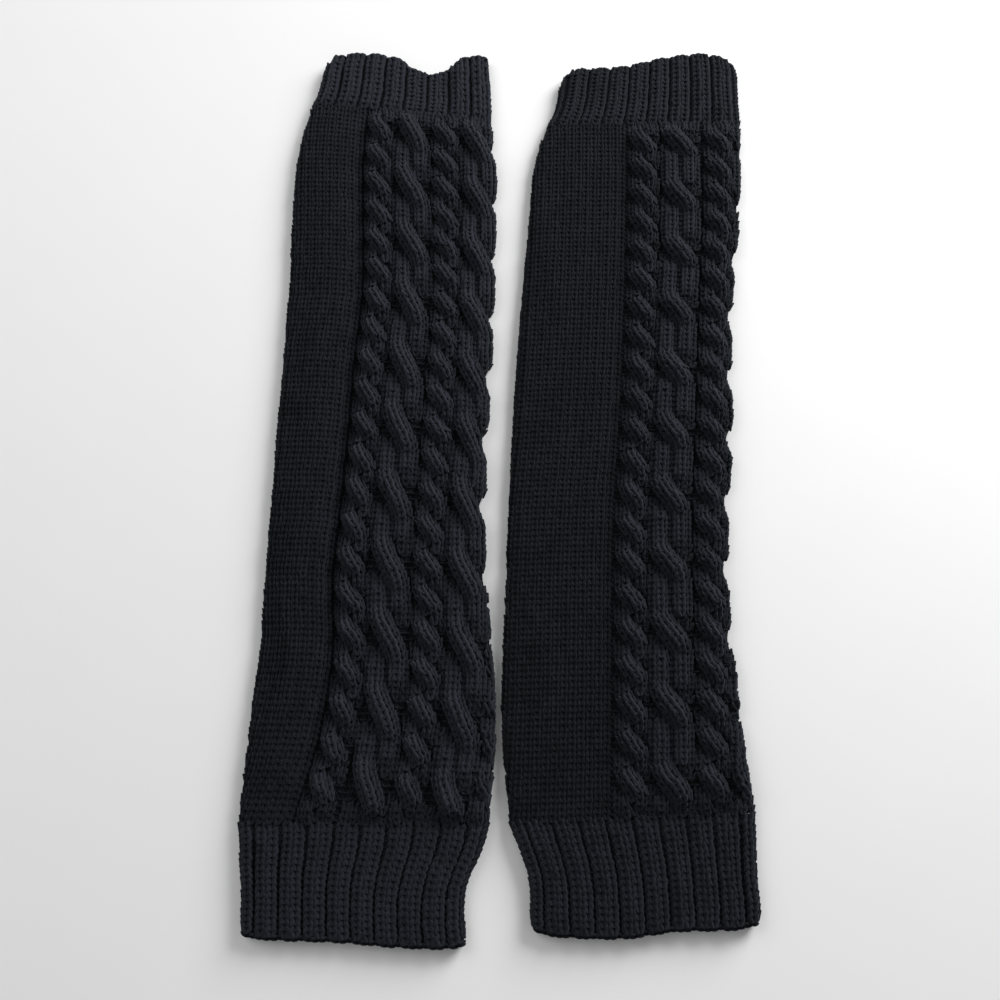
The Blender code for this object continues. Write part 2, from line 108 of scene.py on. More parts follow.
@dataclass(frozen=True)
class Rope:
    """A cable of two strands: how far they swing, their form and their crossings.

    The pitch is the rows between two crossings, the cross share the part of it
    that a crossing takes, the lag the rows by which it starts late, and the wales
    are the columns of stitches on each strand.
    """

    reach: float
    half_width: float
    height: float
    lift: float
    pitch: int
    cross_share: float
    lag: float
    wales: int


@dataclass(frozen=True)
class Station:
    """One section of a body at a share of its length, in places across.

    The groove is the left side of rope a, the fold the soft ridge of the plain
    panel, and the scallop how far the right edge draws in at a crossing.
    """

    share: float
    left: float
    fold: float
    groove: float
    a: float
    b: float
    c: float
    d: float
    right: float
    fold_height: float
    dip: float
    scallop: float


@dataclass(frozen=True)
class Seam:
    """A seam line, as the places along of its left and right end."""

    left: float
    right: float


@dataclass(frozen=True)
class Edge:
    """Left and right edge of a cuff at a share of the way from seam to hem."""

    share: float
    left: float
    right: float


@dataclass(frozen=True)
class Hem:
    """Place along of a hem at a share of its width."""

    share: float
    along: float


@dataclass(frozen=True)
class Crease:
    """A soft trough or ridge from one place to another, with a height."""

    x: float
    y: float
    end_x: float
    end_y: float
    reach: float
    height: float


class Stitch(Enum):
    """Kinds of stitch that are knitted as geometry."""

    KNIT = "knit"
    PURL = "purl"


CLOTH = Cloth()

# Knitting, in rows: a body, its first crossing and two crossings of each cable
BODY_ROWS = 130
FIRST_CROSSING = 5
NARROW_PITCH = 6
WIDE_PITCH = 12
NARROW_ROPE = Rope(2.8, 4.1, 2.6, 2.5, NARROW_PITCH, 0.85, 0.0, 3)
WIDE_ROPE = Rope(4.3, 4.6, 3.0, 2.5, WIDE_PITCH, 0.50, 0.0, 3)
EDGE_ROPE = Rope(4.3, 4.6, 3.0, 2.5, WIDE_PITCH, 0.50, -1.5, 3)

# Share of a crossing in which the back strand changes sides, under the front one
BACK_SHARE = 0.5

# Half the length over which a crease fades out, as a share of its own length
CREASE_HALF = 0.75

# Share of the pitch that the crossings of the wide ropes take on each warmer
LEFT_WIDE_SHARE = 0.80
RIGHT_WIDE_SHARE = 0.58

# Turns round a fold at which a loop has points, in degrees: from the table up to
# the fold's middle, on over a plain fold, and over the fold with the cable
FOOT_TURNS = (0.0, 30.0, 60.0, 90.0)
PLAIN_TURNS = (12.0, 28.0, 45.0, 62.0, 80.0)
CABLE_TURNS = (84.0, 74.0, 64.0, 54.0, 44.0, 34.0, 24.0, 12.0)

LEFT_BODY = (
    Station(0.00, -110.0, -99.5, -87.0, -80.4, -60.6, -45.4, -28.6, -11.2, 0.6, 0.4, 0.2),
    Station(0.10, -108.6, -93.5, -78.6, -71.9, -55.2, -39.4, -23.4, -8.5, 2.2, 1.2, 0.4),
    Station(0.20, -106.7, -89.5, -74.8, -68.1, -53.0, -36.8, -21.4, -9.4, 3.1, 1.8, 0.6),
    Station(0.30, -106.2, -87.5, -76.4, -69.7, -53.4, -37.0, -21.2, -12.3, 3.1, 2.0, 1.0),
    Station(0.40, -105.9, -86.5, -74.4, -67.7, -52.4, -35.9, -20.6, -12.9, 2.9, 2.1, 2.4),
    Station(0.50, -105.6, -85.5, -72.6, -65.9, -50.8, -33.9, -18.6, -12.0, 2.7, 2.1, 2.6),
    Station(0.60, -104.9, -84.5, -71.4, -64.7, -49.4, -32.6, -18.2, -10.4, 2.6, 2.0, 2.4),
    Station(0.70, -104.4, -83.5, -69.2, -62.5, -47.4, -31.4, -17.6, -9.2, 2.6, 2.0, 1.6),
    Station(0.80, -105.1, -84.0, -70.2, -63.5, -48.0, -32.0, -17.0, -8.7, 2.6, 2.1, 1.3),
    Station(0.90, -104.9, -85.5, -71.6, -64.9, -49.2, -32.8, -16.6, -8.3, 2.2, 2.0, 1.3),
    Station(0.95, -102.7, -86.5, -71.2, -64.5, -49.0, -32.9, -17.0, -9.4, 1.5, 1.5, 0.9),
    Station(1.00, -99.2, -87.0, -70.2, -63.5, -48.6, -32.9, -17.4, -11.2, 0.6, 0.6, 0.3),
)
RIGHT_BODY = (
    Station(0.00, -3.2, 18.0, 38.2, 44.8, 60.3, 76.4, 92.6, 93.8, 0.3, 0.2, 0.2),
    Station(0.10, -6.2, 17.0, 39.4, 46.0, 61.7, 78.3, 94.6, 91.3, 0.7, 0.9, 0.4),
    Station(0.20, -5.8, 18.0, 40.5, 47.1, 63.1, 80.0, 96.4, 89.8, 0.8, 1.1, 1.2),
    Station(0.30, -4.5, 19.0, 41.6, 48.2, 64.2, 81.5, 98.0, 90.0, 0.8, 1.2, 2.4),
    Station(0.40, -3.5, 20.0, 43.4, 50.0, 65.8, 83.3, 99.8, 92.5, 0.8, 1.2, 2.4),
    Station(0.50, -1.8, 22.0, 46.6, 53.2, 68.6, 86.3, 102.8, 96.0, 0.8, 1.2, 2.4),
    Station(0.60, 0.1, 24.0, 49.2, 55.8, 71.2, 88.9, 105.4, 97.8, 0.8, 1.2, 2.2),
    Station(0.70, 2.5, 26.0, 51.4, 58.0, 74.0, 91.6, 108.2, 100.4, 0.8, 1.2, 1.8),
    Station(0.80, 5.5, 28.0, 53.2, 59.8, 77.0, 94.6, 111.2, 104.8, 0.8, 1.2, 1.0),
    Station(0.90, 8.2, 30.0, 54.8, 61.4, 78.8, 97.0, 113.6, 108.4, 0.7, 1.0, 0.6),
    Station(0.95, 10.6, 32.0, 55.4, 62.0, 79.4, 98.0, 114.6, 109.4, 0.5, 0.7, 0.4),
    Station(1.00, 15.8, 34.0, 55.9, 62.5, 80.0, 98.8, 115.4, 110.2, 0.3, 0.3, 0.2),
)
LEFT_LOWER_SEAM = Seam(-163.0, -163.4)
LEFT_UPPER_SEAM = Seam(172.5, 162.0)
RIGHT_LOWER_SEAM = Seam(-162.8, -159.2)
RIGHT_UPPER_SEAM = Seam(159.6, 160.8)
LEFT_UPPER_EDGES = (
    Edge(0.0, -99.2, -11.2), Edge(0.25, -97.0, -11.4), Edge(0.5, -96.0, -11.8),
    Edge(0.75, -95.1, -12.4), Edge(1.0, -93.6, -12.8),
)
RIGHT_UPPER_EDGES = (
    Edge(0.0, 15.8, 110.2), Edge(0.2, 18.8, 110.1), Edge(0.5, 21.2, 110.2),
    Edge(0.8, 22.6, 110.4), Edge(1.0, 24.2, 109.8),
)
LEFT_LOWER_EDGES = (
    Edge(0.0, -110.0, -11.2), Edge(0.14, -109.2, -12.8), Edge(0.25, -108.8, -14.6),
    Edge(0.42, -108.1, -18.2), Edge(0.58, -107.2, -20.4), Edge(0.8, -106.6, -20.6),
    Edge(1.0, -106.2, -19.6),
)
RIGHT_LOWER_EDGES = (
    Edge(0.0, -3.2, 93.8), Edge(0.1, -1.8, 93.6), Edge(0.2, -0.2, 93.4),
    Edge(0.45, 3.5, 92.9), Edge(0.65, 4.6, 92.9), Edge(0.85, 4.5, 93.2),
    Edge(1.0, 5.2, 92.4),
)
LEFT_UPPER_HEM = (
    Hem(0.0, 193.4), Hem(0.07, 200.2), Hem(0.26, 202.0), Hem(0.45, 198.8),
    Hem(0.56, 192.0), Hem(0.68, 190.4), Hem(0.78, 194.8), Hem(0.86, 200.0),
    Hem(0.97, 200.4), Hem(1.0, 199.0),
)
RIGHT_UPPER_HEM = (
    Hem(0.0, 187.0), Hem(0.04, 191.0), Hem(0.1, 192.6), Hem(0.34, 194.0),
    Hem(0.57, 199.0), Hem(0.78, 201.8), Hem(0.88, 200.8), Hem(0.97, 197.4),
    Hem(1.0, 195.0),
)
LEFT_LOWER_HEM = (
    Hem(0.0, -203.0), Hem(0.06, -204.8), Hem(0.45, -206.2), Hem(0.7, -207.9),
    Hem(0.95, -208.2), Hem(1.0, -206.0),
)
RIGHT_LOWER_HEM = (
    Hem(0.0, -201.6), Hem(0.07, -203.8), Hem(0.4, -204.8), Hem(0.62, -202.4),
    Hem(0.9, -201.6), Hem(1.0, -199.6),
)

# Creases placed one by one: soft troughs and ridges of uneven length and depth
LEFT_CREASES = (
    Crease(-104.0, -60.0, -99.0, -128.0, 9.0, -0.9),
    Crease(-91.0, 96.0, -88.0, 140.0, 8.0, -0.5),
    Crease(-99.0, 20.0, -96.0, 66.0, 7.0, -0.35),
    Crease(-30.0, -118.0, -14.0, -146.0, 9.0, -0.7),
    Crease(-96.0, -140.0, -78.0, -157.0, 6.0, 0.6),
)
RIGHT_CREASES = (
    Crease(12.0, 120.0, 20.0, 60.0, 10.0, 0.7),
    Crease(30.0, 20.0, 25.0, -52.0, 9.0, -0.5),
    Crease(6.0, -70.0, 14.0, -132.0, 10.0, 0.6),
    Crease(40.0, 140.0, 36.0, 86.0, 7.0, -0.6),
    Crease(26.0, -118.0, 34.0, -152.0, 6.0, -0.55),
)
LEFT_UPPER_CREASES = (
    Crease(-34.0, 166.0, -37.0, 197.0, 9.0, -1.5),
    Crease(-90.0, 176.0, -86.0, 196.0, 6.0, -0.4),
)
LEFT_LOWER_CREASES = (
    Crease(-28.0, -168.0, -24.0, -198.0, 7.0, -0.7),
    Crease(-98.0, -170.0, -95.0, -190.0, 6.0, 0.4),
)
RIGHT_UPPER_CREASES = (
    Crease(34.0, 166.0, 38.0, 188.0, 8.0, -0.6),
    Crease(96.0, 168.0, 92.0, 194.0, 6.0, 0.4),
)
RIGHT_LOWER_CREASES = (
    Crease(14.0, -166.0, 10.0, -196.0, 7.0, -0.6),
    Crease(74.0, -170.0, 78.0, -198.0, 8.0, 0.5),
)


# Shapes as numbers


def fold_inset(turns: tuple[float, ...], radius: float) -> Array:
    """Distances of a fold's points from its edge, as one row."""
    return radius * (1.0 - np.cos(np.radians(turns)[None]))


def fold_foot() -> tuple[Array, Array]:
    """Distances in from the edge of a fold's lower points, and their heights."""
    inset = CLOTH.tuck * (1.0 - np.sin(np.radians(FOOT_TURNS)[None]))
    return inset, fold_inset(FOOT_TURNS, CLOTH.fold_middle)


def slit_places(outer: Array, left: Array, right: Array) -> tuple[Array, Array]:
    """Place the space inside a flat tube under the points of its outer face.

    Args:
        outer: Loops round the outer face.
        left: Left edge of each loop.
        right: Right edge of each loop.

    Returns:
        Places across, and how far each is open, from 0 at a fold to 1.
    """
    low, high = left + CLOTH.slit_inset, right - CLOTH.slit_inset
    x = np.clip(outer[:, :, 0], low, high)
    return x, np.clip(np.minimum(x - low, high - x) / CLOTH.slit_taper, 0.0, 1.0)


def slit_heights(outer: Array, opened: Array, roof: Any) -> Array:
    """Heights round the space inside a flat tube.

    Args:
        outer: Loops round the outer face.
        opened: How far each point is open.
        roof: Height of the top layer's inner face, where it is open.

    Returns:
        A height for each point.
    """
    middle = CLOTH.wall + CLOTH.lining_gap / 2
    upper = outer[:, :, 2] > CLOTH.fold_middle
    return np.where(upper, mix(middle, roof, opened), mix(middle, CLOTH.wall, opened))


def mix(start: Any, end: Any, share: Any) -> Any:
    """Value that lies the given share of the way from start to end."""
    return start + (end - start) * share


def eased(share: Array) -> Array:
    """Share from 0 to 1, eased at both ends."""
    share = np.clip(share, 0.0, 1.0)
    return share * share * (3.0 - 2.0 * share)


def rounded(inset: Array, radius: float) -> Array:
    """Share of the full height near a fold, 0 on its edge and 1 past a radius."""
    reach = 1.0 - np.clip(inset / radius, 0.0, 1.0)
    return np.sqrt(1.0 - reach * reach)


def hill(distance: Array, width: Any) -> Array:
    """Rounded hill of height 1 that reaches 0 at the given width."""
    return 0.5 + 0.5 * np.cos(np.pi * np.minimum(np.abs(distance) / width, 1.0))


def along_table(rows: tuple, column: str, share: Array) -> Array:
    """Read a table's column on a smooth curve.

    Args:
        rows: The table, whose rows have a share each.
        column: Name of the column.
        share: Where to read it.

    Returns:
        The column's values there.
    """
    at = np.array([row.share for row in rows])
    value = np.array([getattr(row, column) for row in rows])
    share = np.asarray(share, float)
    low = np.clip(np.searchsorted(at, share) - 1, 0, len(at) - 2)
    before, after = np.maximum(low - 1, 0), np.minimum(low + 2, len(at) - 1)
    step = at[low + 1] - at[low]
    place = (share - at[low]) / step
    slope_in = (value[low + 1] - value[before]) / (at[low + 1] - at[before]) * step
    slope_out = (value[after] - value[low]) / (at[after] - at[low]) * step
    square, cube = place**2, place**3
    return (
        (2 * cube - 3 * square + 1) * value[low]
        + (cube - 2 * square + place) * slope_in
        + (3 * square - 2 * cube) * value[low + 1]
        + (cube - square) * slope_out
    )


def crease_height(creases: tuple[Crease, ...], x: Array, y: Array) -> Array:
    """Add up the creases at places on the cloth.

    Args:
        creases: The creases of one piece.
        x: Places across.
        y: Places along.

    Returns:
        Their height there, negative in a trough.
    """
    height = np.zeros(np.broadcast(x, y).shape)
    for crease in creases:
        run_x, run_y = crease.end_x - crease.x, crease.end_y - crease.y
        length = math.hypot(run_x, run_y)
        share = ((x - crease.x) * run_x + (y - crease.y) * run_y) / length**2
        off = ((x - crease.x) * run_y - (y - crease.y) * run_x) / length
        height += crease.height * hill(off, crease.reach) * hill(share - 0.5, CREASE_HALF)
    return height


def swing(rope: Rope, local: Array, half: float) -> tuple[Array, Array]:
    """Swing of a strand that changes sides within a half.

    Args:
        rope: Its rope.
        local: Turns from the crossing's middle.
        half: Half the turns that the change takes.

    Returns:
        Its offset across and its slope in millimetres a row.
    """
    reach = np.clip(local / half, -1.0, 1.0)
    slope = rope.reach * np.cos(reach * np.pi / 2) * np.pi / 2 / (half * rope.pitch)
    return rope.reach * np.sin(reach * np.pi / 2), np.where(np.abs(reach) >= 1.0, 0.0, slope)


def strands(rope: Rope, row: Array) -> tuple[tuple[Array, Array, Array], ...]:
    """Follow both strands of a rope.

    Args:
        rope: The rope.
        row: Knitted rows to look at.

    Returns:
        For the front and the back strand, its offset across, its slope in
        millimetres a row, and how far it is lifted.
    """
    turns = (row - FIRST_CROSSING - rope.lag) / rope.pitch
    local = turns - np.floor(turns + 0.5)
    half = rope.cross_share / 2
    front, front_slope = swing(rope, local, half)
    back, back_slope = swing(rope, local, half * BACK_SHARE)
    lift = rope.lift * (1.0 - np.minimum(np.abs(local) / half, 1.0) ** 2)
    return (-front, -front_slope, lift), (back, back_slope, -lift)


def strand_height(rope: Rope, lift: Array, distance: Array) -> Array:
    """Height of one strand over the wall.

    Args:
        rope: Its rope.
        lift: How far it is lifted or pushed down.
        distance: Distance from its middle, in half widths.

    Returns:
        The height, and 0 beside the strand.
    """
    inside = np.clip(1.0 - distance**2, 0.0, 1.0)
    return np.where(distance < 1.0, rope.height * np.sqrt(inside) + lift * inside, 0.0)


def rope_relief(rope: Rope, offset: Array, row: Array, row_length: float) -> Array:
    """Height of a rope over the wall.

    Args:
        rope: The rope.
        offset: Places across, from the rope's middle.
        row: Knitted rows.
        row_length: Length of a row.

    Returns:
        The height of its upper strand there.
    """
    height = np.zeros(np.broadcast(offset, row).shape)
    for middle, slope, lift in strands(rope, row):
        lean = np.arctan(slope / row_length)
        distance = np.abs(offset - middle) * np.cos(lean) / rope.half_width
        height = np.maximum(height, strand_height(rope, lift, distance))
    return height


# Nodes


class Signal:
    """A socket's value in a node tree, with Python's operators as Math nodes."""

    def __init__(self, graph: "Graph", socket: bpy.types.NodeSocket) -> None:
        """Wrap a socket of a graph."""
        self.graph = graph
        self.socket = socket

    def math(self, operation: str, *others: Any) -> "Signal":
        """Result of a Math node on this value and others."""
        return self.graph.math(operation, self, *others)

    def __add__(self, other: Any) -> "Signal":
        """Sum."""
        return self.math("ADD", other)

    __radd__ = __add__

    def __sub__(self, other: Any) -> "Signal":
        """Difference."""
        return self.math("SUBTRACT", other)

    def __rsub__(self, other: Any) -> "Signal":
        """Difference, from a number."""
        return self.graph.math("SUBTRACT", other, self)

    def __mul__(self, other: Any) -> "Signal":
        """Product."""
        return self.math("MULTIPLY", other)

    __rmul__ = __mul__

    def clamped(self) -> "Signal":
        """The same value, held between 0 and 1 by its Math node."""
        self.socket.node.use_clamp = True
        return self


class Graph:
    """Builds the nodes of one tree."""

    def __init__(self, tree: bpy.types.NodeTree) -> None:
        """Take a tree to build in."""
        self.tree = tree

    def node(self, kind: str, settings: dict | None = None, inputs: dict | None = None) -> Any:
        """Add a node.

        Args:
            kind: The node's type.
            settings: Its properties, set first.
            inputs: Values or links of its sockets, by name or number.

        Returns:
            The node.
        """
        node = self.tree.nodes.new(kind)
        for name, value in (settings or {}).items():
            setattr(node, name, value)
        for key, value in (inputs or {}).items():
            self.feed(node.inputs[key], value)
        return node

    def feed(self, socket: bpy.types.NodeSocket, value: Any) -> None:
        """Link or set one socket.

        Args:
            socket: The socket.
            value: A signal, another node's output, or a plain value.
        """
        if isinstance(value, Signal):
            value = value.socket
        if isinstance(value, bpy.types.NodeSocket):
            self.tree.links.new(value, socket)
        else:
            socket.default_value = value

    def value(self, node: bpy.types.Node, output: Any = 0) -> Signal:
        """A node's output as a signal."""
        return Signal(self, node.outputs[output])

    def math(self, operation: str, *values: Any) -> Signal:
        """Result of a Math node."""
        node = self.node("ShaderNodeMath", {"operation": operation}, dict(enumerate(values)))
        return self.value(node)

    def vector(self, x: Any, y: Any, z: Any) -> Signal:
        """Vector of three values."""
        return self.value(self.node("ShaderNodeCombineXYZ", inputs={0: x, 1: y, 2: z}))

    def parts(self, vector: Any) -> tuple[Signal, Signal]:
        """First two values of a vector."""
        node = self.node("ShaderNodeSeparateXYZ", inputs={0: vector})
        return self.value(node, 0), self.value(node, 1)

    def attribute(self, name: str, output: str = "Fac") -> Signal:
        """A mesh attribute in a material."""
        return self.value(self.node("ShaderNodeAttribute", {"attribute_name": name}), output)

    def noise(self, scale: float, detail: float = 2.0) -> Signal:
        """Add noise over the place on the pair.

        Args:
            scale: How fine it is, in waves for each metre.
            detail: How many finer noises lie on it.

        Returns:
            Values from 0 to 1.
        """
        place = self.node("ShaderNodeTexCoord").outputs["Object"]
        inputs = {"Vector": place, "Scale": scale, "Detail": detail}
        return self.value(self.node("ShaderNodeTexNoise", inputs=inputs), "Fac")

    def blend(self, share: Signal, low: Colour, high: Colour) -> bpy.types.NodeSocket:
        """Colour that lies the given share of the way between two."""
        inputs = {0: share, 6: (*low, 1.0), 7: (*high, 1.0)}
        return self.node("ShaderNodeMix", {"data_type": "RGBA"}, inputs).outputs[2]

    def relief(self, height: Signal, strength: float, distance: float) -> bpy.types.NodeSocket:
        """Normal of a surface with a fine relief, whose distance is in metres."""
        inputs = {"Strength": strength, "Distance": distance, "Height": height}
        return self.node("ShaderNodeBump", inputs=inputs).outputs[0]


def new_material(name: str) -> tuple[bpy.types.Material, Graph, bpy.types.Node]:
    """Start a material.

    Args:
        name: Its name.

    Returns:
        The material, the builder of its nodes, and its shader.
    """
    material = bpy.data.materials.new(name)
    material.use_nodes = True
    tree = material.node_tree
    return material, Graph(tree), tree.nodes["Principled BSDF"]


# Finishes


@dataclass(frozen=True)
class YarnFinish:
    """Matt plied yarn of one colour, as it shows on the stitches.

    The deep colour shows on dark stitches and the light one on pale stitches.
    The turns are those of the ply along half a stitch. The weights say how much a
    stitch's own shade, worn patches, the ply and loose fibres lighten the yarn,
    and the depth how much all of it is darkened. A stitch's own shade mixes random
    tone with painted light and shade. The depth of its relief is metres.
    """

    name: str
    deep: Colour
    light: Colour
    roughness: float = 0.9
    roughness_spread: float = 0.16
    sheen: float = 0.045
    sheen_roughness: float = 0.55
    sheen_tint: Colour = (0.75, 0.82, 1.0)
    shine: float = 0.1
    turns: float = 1.5
    patch_scale: float = 90.0
    fibre_scale: float = 1400.0
    shade_weight: float = 0.85
    patch_weight: float = 0.4
    ply_weight: float = 0.12
    fibre_weight: float = 0.3
    depth: float = 0.33
    ply_relief: float = 0.6
    fibre_relief: float = 0.5
    relief: float = 0.55
    relief_depth: float = 0.00025

    def material(self) -> bpy.types.Material:
        """Make the yarn's material, once.

        Returns:
            The material, whose colour, roughness and ply vary from stitch to stitch.
        """
        if self.name in bpy.data.materials:
            return bpy.data.materials[self.name]
        material, graph, shader = new_material(self.name)
        angle = graph.attribute("strand") * (2 * math.pi * self.turns)
        cosine, sine = graph.parts(graph.attribute("around", "Vector"))
        ply = cosine * angle.math("COSINE") + sine * angle.math("SINE")
        patch = graph.noise(self.patch_scale, detail=3.0)
        fibre = graph.noise(self.fibre_scale)
        # The shade attribute carries painted light and shade on top of random tone.
        tone = graph.attribute("shade") * self.shade_weight + patch * self.patch_weight
        tone = tone + ply * self.ply_weight + fibre * self.fibre_weight - self.depth
        graph.feed(shader.inputs["Base Color"], graph.blend(tone.clamped(), self.deep, self.light))
        rough = fibre * self.roughness_spread + (self.roughness - self.roughness_spread / 2)
        graph.feed(shader.inputs["Roughness"], rough)
        height = ply * self.ply_relief + fibre * self.fibre_relief
        graph.feed(shader.inputs["Normal"], graph.relief(height, self.relief, self.relief_depth))
        shader.inputs["Sheen Weight"].default_value = self.sheen
        shader.inputs["Sheen Roughness"].default_value = self.sheen_roughness
        shader.inputs["Sheen Tint"].default_value = (*self.sheen_tint, 1.0)
        shader.inputs["Specular IOR Level"].default_value = self.shine
        return material


@dataclass(frozen=True)
class ClothFinish:
    """Knitted cloth as it shows under, between and behind the stitches, in painted shade.

    The slant is how far the limbs of a stitch lean, in rows for each wale across,
    and their fall how much they darken at their sides. The limbs are painted lighter
    on their crests and darker in the gaps, a painted light and shade, and also make
    the relief. The depth of the relief is metres.
    """

    name: str
    deep: Colour
    light: Colour
    roughness: float = 0.93
    roughness_spread: float = 0.1
    sheen: float = 0.01
    sheen_roughness: float = 0.6
    shine: float = 0.03
    slant: float = 1.6
    patch_scale: float = 70.0
    fibre_scale: float = 1100.0
    painted_limb_shading: float = 0.45
    patch_weight: float = 0.4
    fibre_weight: float = 0.25
    depth: float = 0.1
    limb_fall: float = 0.8
    fibre_relief: float = 0.25
    relief: float = 0.9
    relief_depth: float = 0.0007

    def material(self) -> bpy.types.Material:
        """Make the cloth's material, once.

        Returns:
            The material, with rows of small stitches along the cloth's own map.
        """
        if self.name in bpy.data.materials:
            return bpy.data.materials[self.name]
        material, graph, shader = new_material(self.name)
        across, along = graph.parts(graph.node("ShaderNodeUVMap", {"uv_map": "knit"}).outputs[0])
        wale = (across.math("FRACT") - 0.5).math("ABSOLUTE")
        row = (along - wale * self.slant).math("FRACT")
        off = wale * 4.0 - 1.0
        limb = (row * math.pi).math("SINE") * (1.0 - off * off * self.limb_fall)
        fibre = graph.noise(self.fibre_scale)
        patch = graph.noise(self.patch_scale, detail=3.0)
        # Painted light and shade: the small limbs are lighter on their crests and darker in the gaps between
        # them.
        tone = limb * self.painted_limb_shading + fibre * self.fibre_weight + patch * self.patch_weight - self.depth
        graph.feed(shader.inputs["Base Color"], graph.blend(tone.clamped(), self.deep, self.light))
        rough = fibre * self.roughness_spread + (self.roughness - self.roughness_spread / 2)
        graph.feed(shader.inputs["Roughness"], rough)
        height = limb + fibre * self.fibre_relief
        graph.feed(shader.inputs["Normal"], graph.relief(height, self.relief, self.relief_depth))
        shader.inputs["Sheen Weight"].default_value = self.sheen
        shader.inputs["Sheen Roughness"].default_value = self.sheen_roughness
        shader.inputs["Specular IOR Level"].default_value = self.shine
        return material


# Painted shade: the cloth's colours are darker than the yarn's, standing in for the shade under and between
# the stitches.
BODY_CLOTH = ClothFinish("black_body_cloth", (0.0038, 0.0043, 0.0056), (0.0105, 0.0118, 0.0150))
CUFF_CLOTH = ClothFinish("black_cuff_cloth", (0.0044, 0.0050, 0.0065), (0.0120, 0.0136, 0.0172))
BODY_YARN = YarnFinish("black_body_yarn", (0.0034, 0.0040, 0.0054), (0.0195, 0.0221, 0.0290))
CUFF_YARN = YarnFinish("black_cuff_yarn", (0.0040, 0.0047, 0.0062), (0.0180, 0.0206, 0.0272))


# Meshes


def placed(points: Array) -> Array:
    """Points of the tables in metres, in the row frame."""
    return (points - np.array([MIDDLE[0], MIDDLE[1], 0.0])) * MM


def wales_of(points: Array) -> Array:
    """Measure the way round each section from its first point, in wales.

    Args:
        points: Closed loops of points, one for each section.

    Returns:
        The distances, with one more column for the way back to the start.
    """
    closed = np.concatenate([points, points[:, :1]], axis=1)
    steps = np.linalg.norm(np.diff(closed, axis=1), axis=2)
    total = np.round(steps.sum(1).mean() / CLOTH.wale)
    distance = np.concatenate([np.zeros((len(points), 1)), np.cumsum(steps, axis=1)], axis=1)
    return distance / distance[:, -1:] * total


def map_knit(mesh: bpy.types.Mesh, knit: Array, inner_sections: int) -> None:
    """Give a tube's mesh its map of wales and rows.

    Args:
        mesh: The tube's mesh, with the points of its outer face first.
        knit: Wales and rows at the outer points, with one more column.
        inner_sections: How many sections the space inside has.
    """
    beside = np.linspace(0, len(knit) - 1, inner_sections).astype(int)
    rows = np.concatenate([knit[:, :-1].reshape(-1, 2), knit[beside, :-1].reshape(-1, 2)])
    numbers = np.zeros(len(mesh.loops), np.int32)
    mesh.loops.foreach_get("vertex_index", numbers)
    places = rows[numbers].reshape(-1, 4, 2)
    wales = places[:, :, 0]
    last = wales.max(1) - wales.min(1) > 0.5 * knit[:, :, 0].max()
    end = knit[0, -1, 0]
    wales[last] = np.where(wales[last] < 0.5 * end, wales[last] + end, wales[last])
    uv = mesh.uv_layers.new(name="knit")
    uv.data.foreach_set("uv", places.reshape(-1).astype(np.float32))


def tube(
    name: str, outer: Array, inner: Array, rows: Array, material: bpy.types.Material
) -> tuple[bpy.types.Object, BVHTree]:
    """Make a thin tube of cloth through sections, open at both ends.

    Args:
        name: The piece's name.
        outer: Points of the outer face, a row for each section, as a closed loop.
        inner: The same for the inner face, with as many points in a section.
        rows: Knitted row of each section of the outer face.
        material: Its material.

    Returns:
        The piece, in the row frame, and its outer faces to set stitches down on.
    """
    sections, around = outer.shape[:2]
    column = np.arange(around)
    after = (column + 1) % around

    def strip(low: Array, high: Array, turned: bool) -> Array:
        """Faces between two loops of point numbers."""
        faces = np.stack([low[column], low[after], high[after], high[column]], axis=1)
        return faces[:, ::-1] if turned else faces

    loops = [number * around + column for number in range(sections)]
    inside = [(sections + number) * around + column for number in range(len(inner))]
    shown = [strip(low, high, True) for low, high in zip(loops, loops[1:])]
    hidden = [strip(low, high, False) for low, high in zip(inside, inside[1:])]
    rims = [strip(inside[0], loops[0], True), strip(loops[-1], inside[-1], True)]
    mesh = bpy.data.meshes.new(name)
    points = placed(np.concatenate([outer.reshape(-1, 3), inner.reshape(-1, 3)])).tolist()
    mesh.from_pydata(points, [], np.concatenate(shown + hidden + rims).tolist())
    ground = BVHTree.FromPolygons(points[: sections * around], np.concatenate(shown).tolist())
    mesh.materials.append(material)
    mesh.shade_smooth()
    wales = wales_of(outer)
    map_knit(mesh, np.stack([wales, np.broadcast_to(rows[:, None], wales.shape)], axis=2), len(inner))
    mesh.validate()
    piece = bpy.data.objects.new(name, mesh)
    bpy.context.scene.collection.objects.link(piece)
    return piece, ground


# Stitches


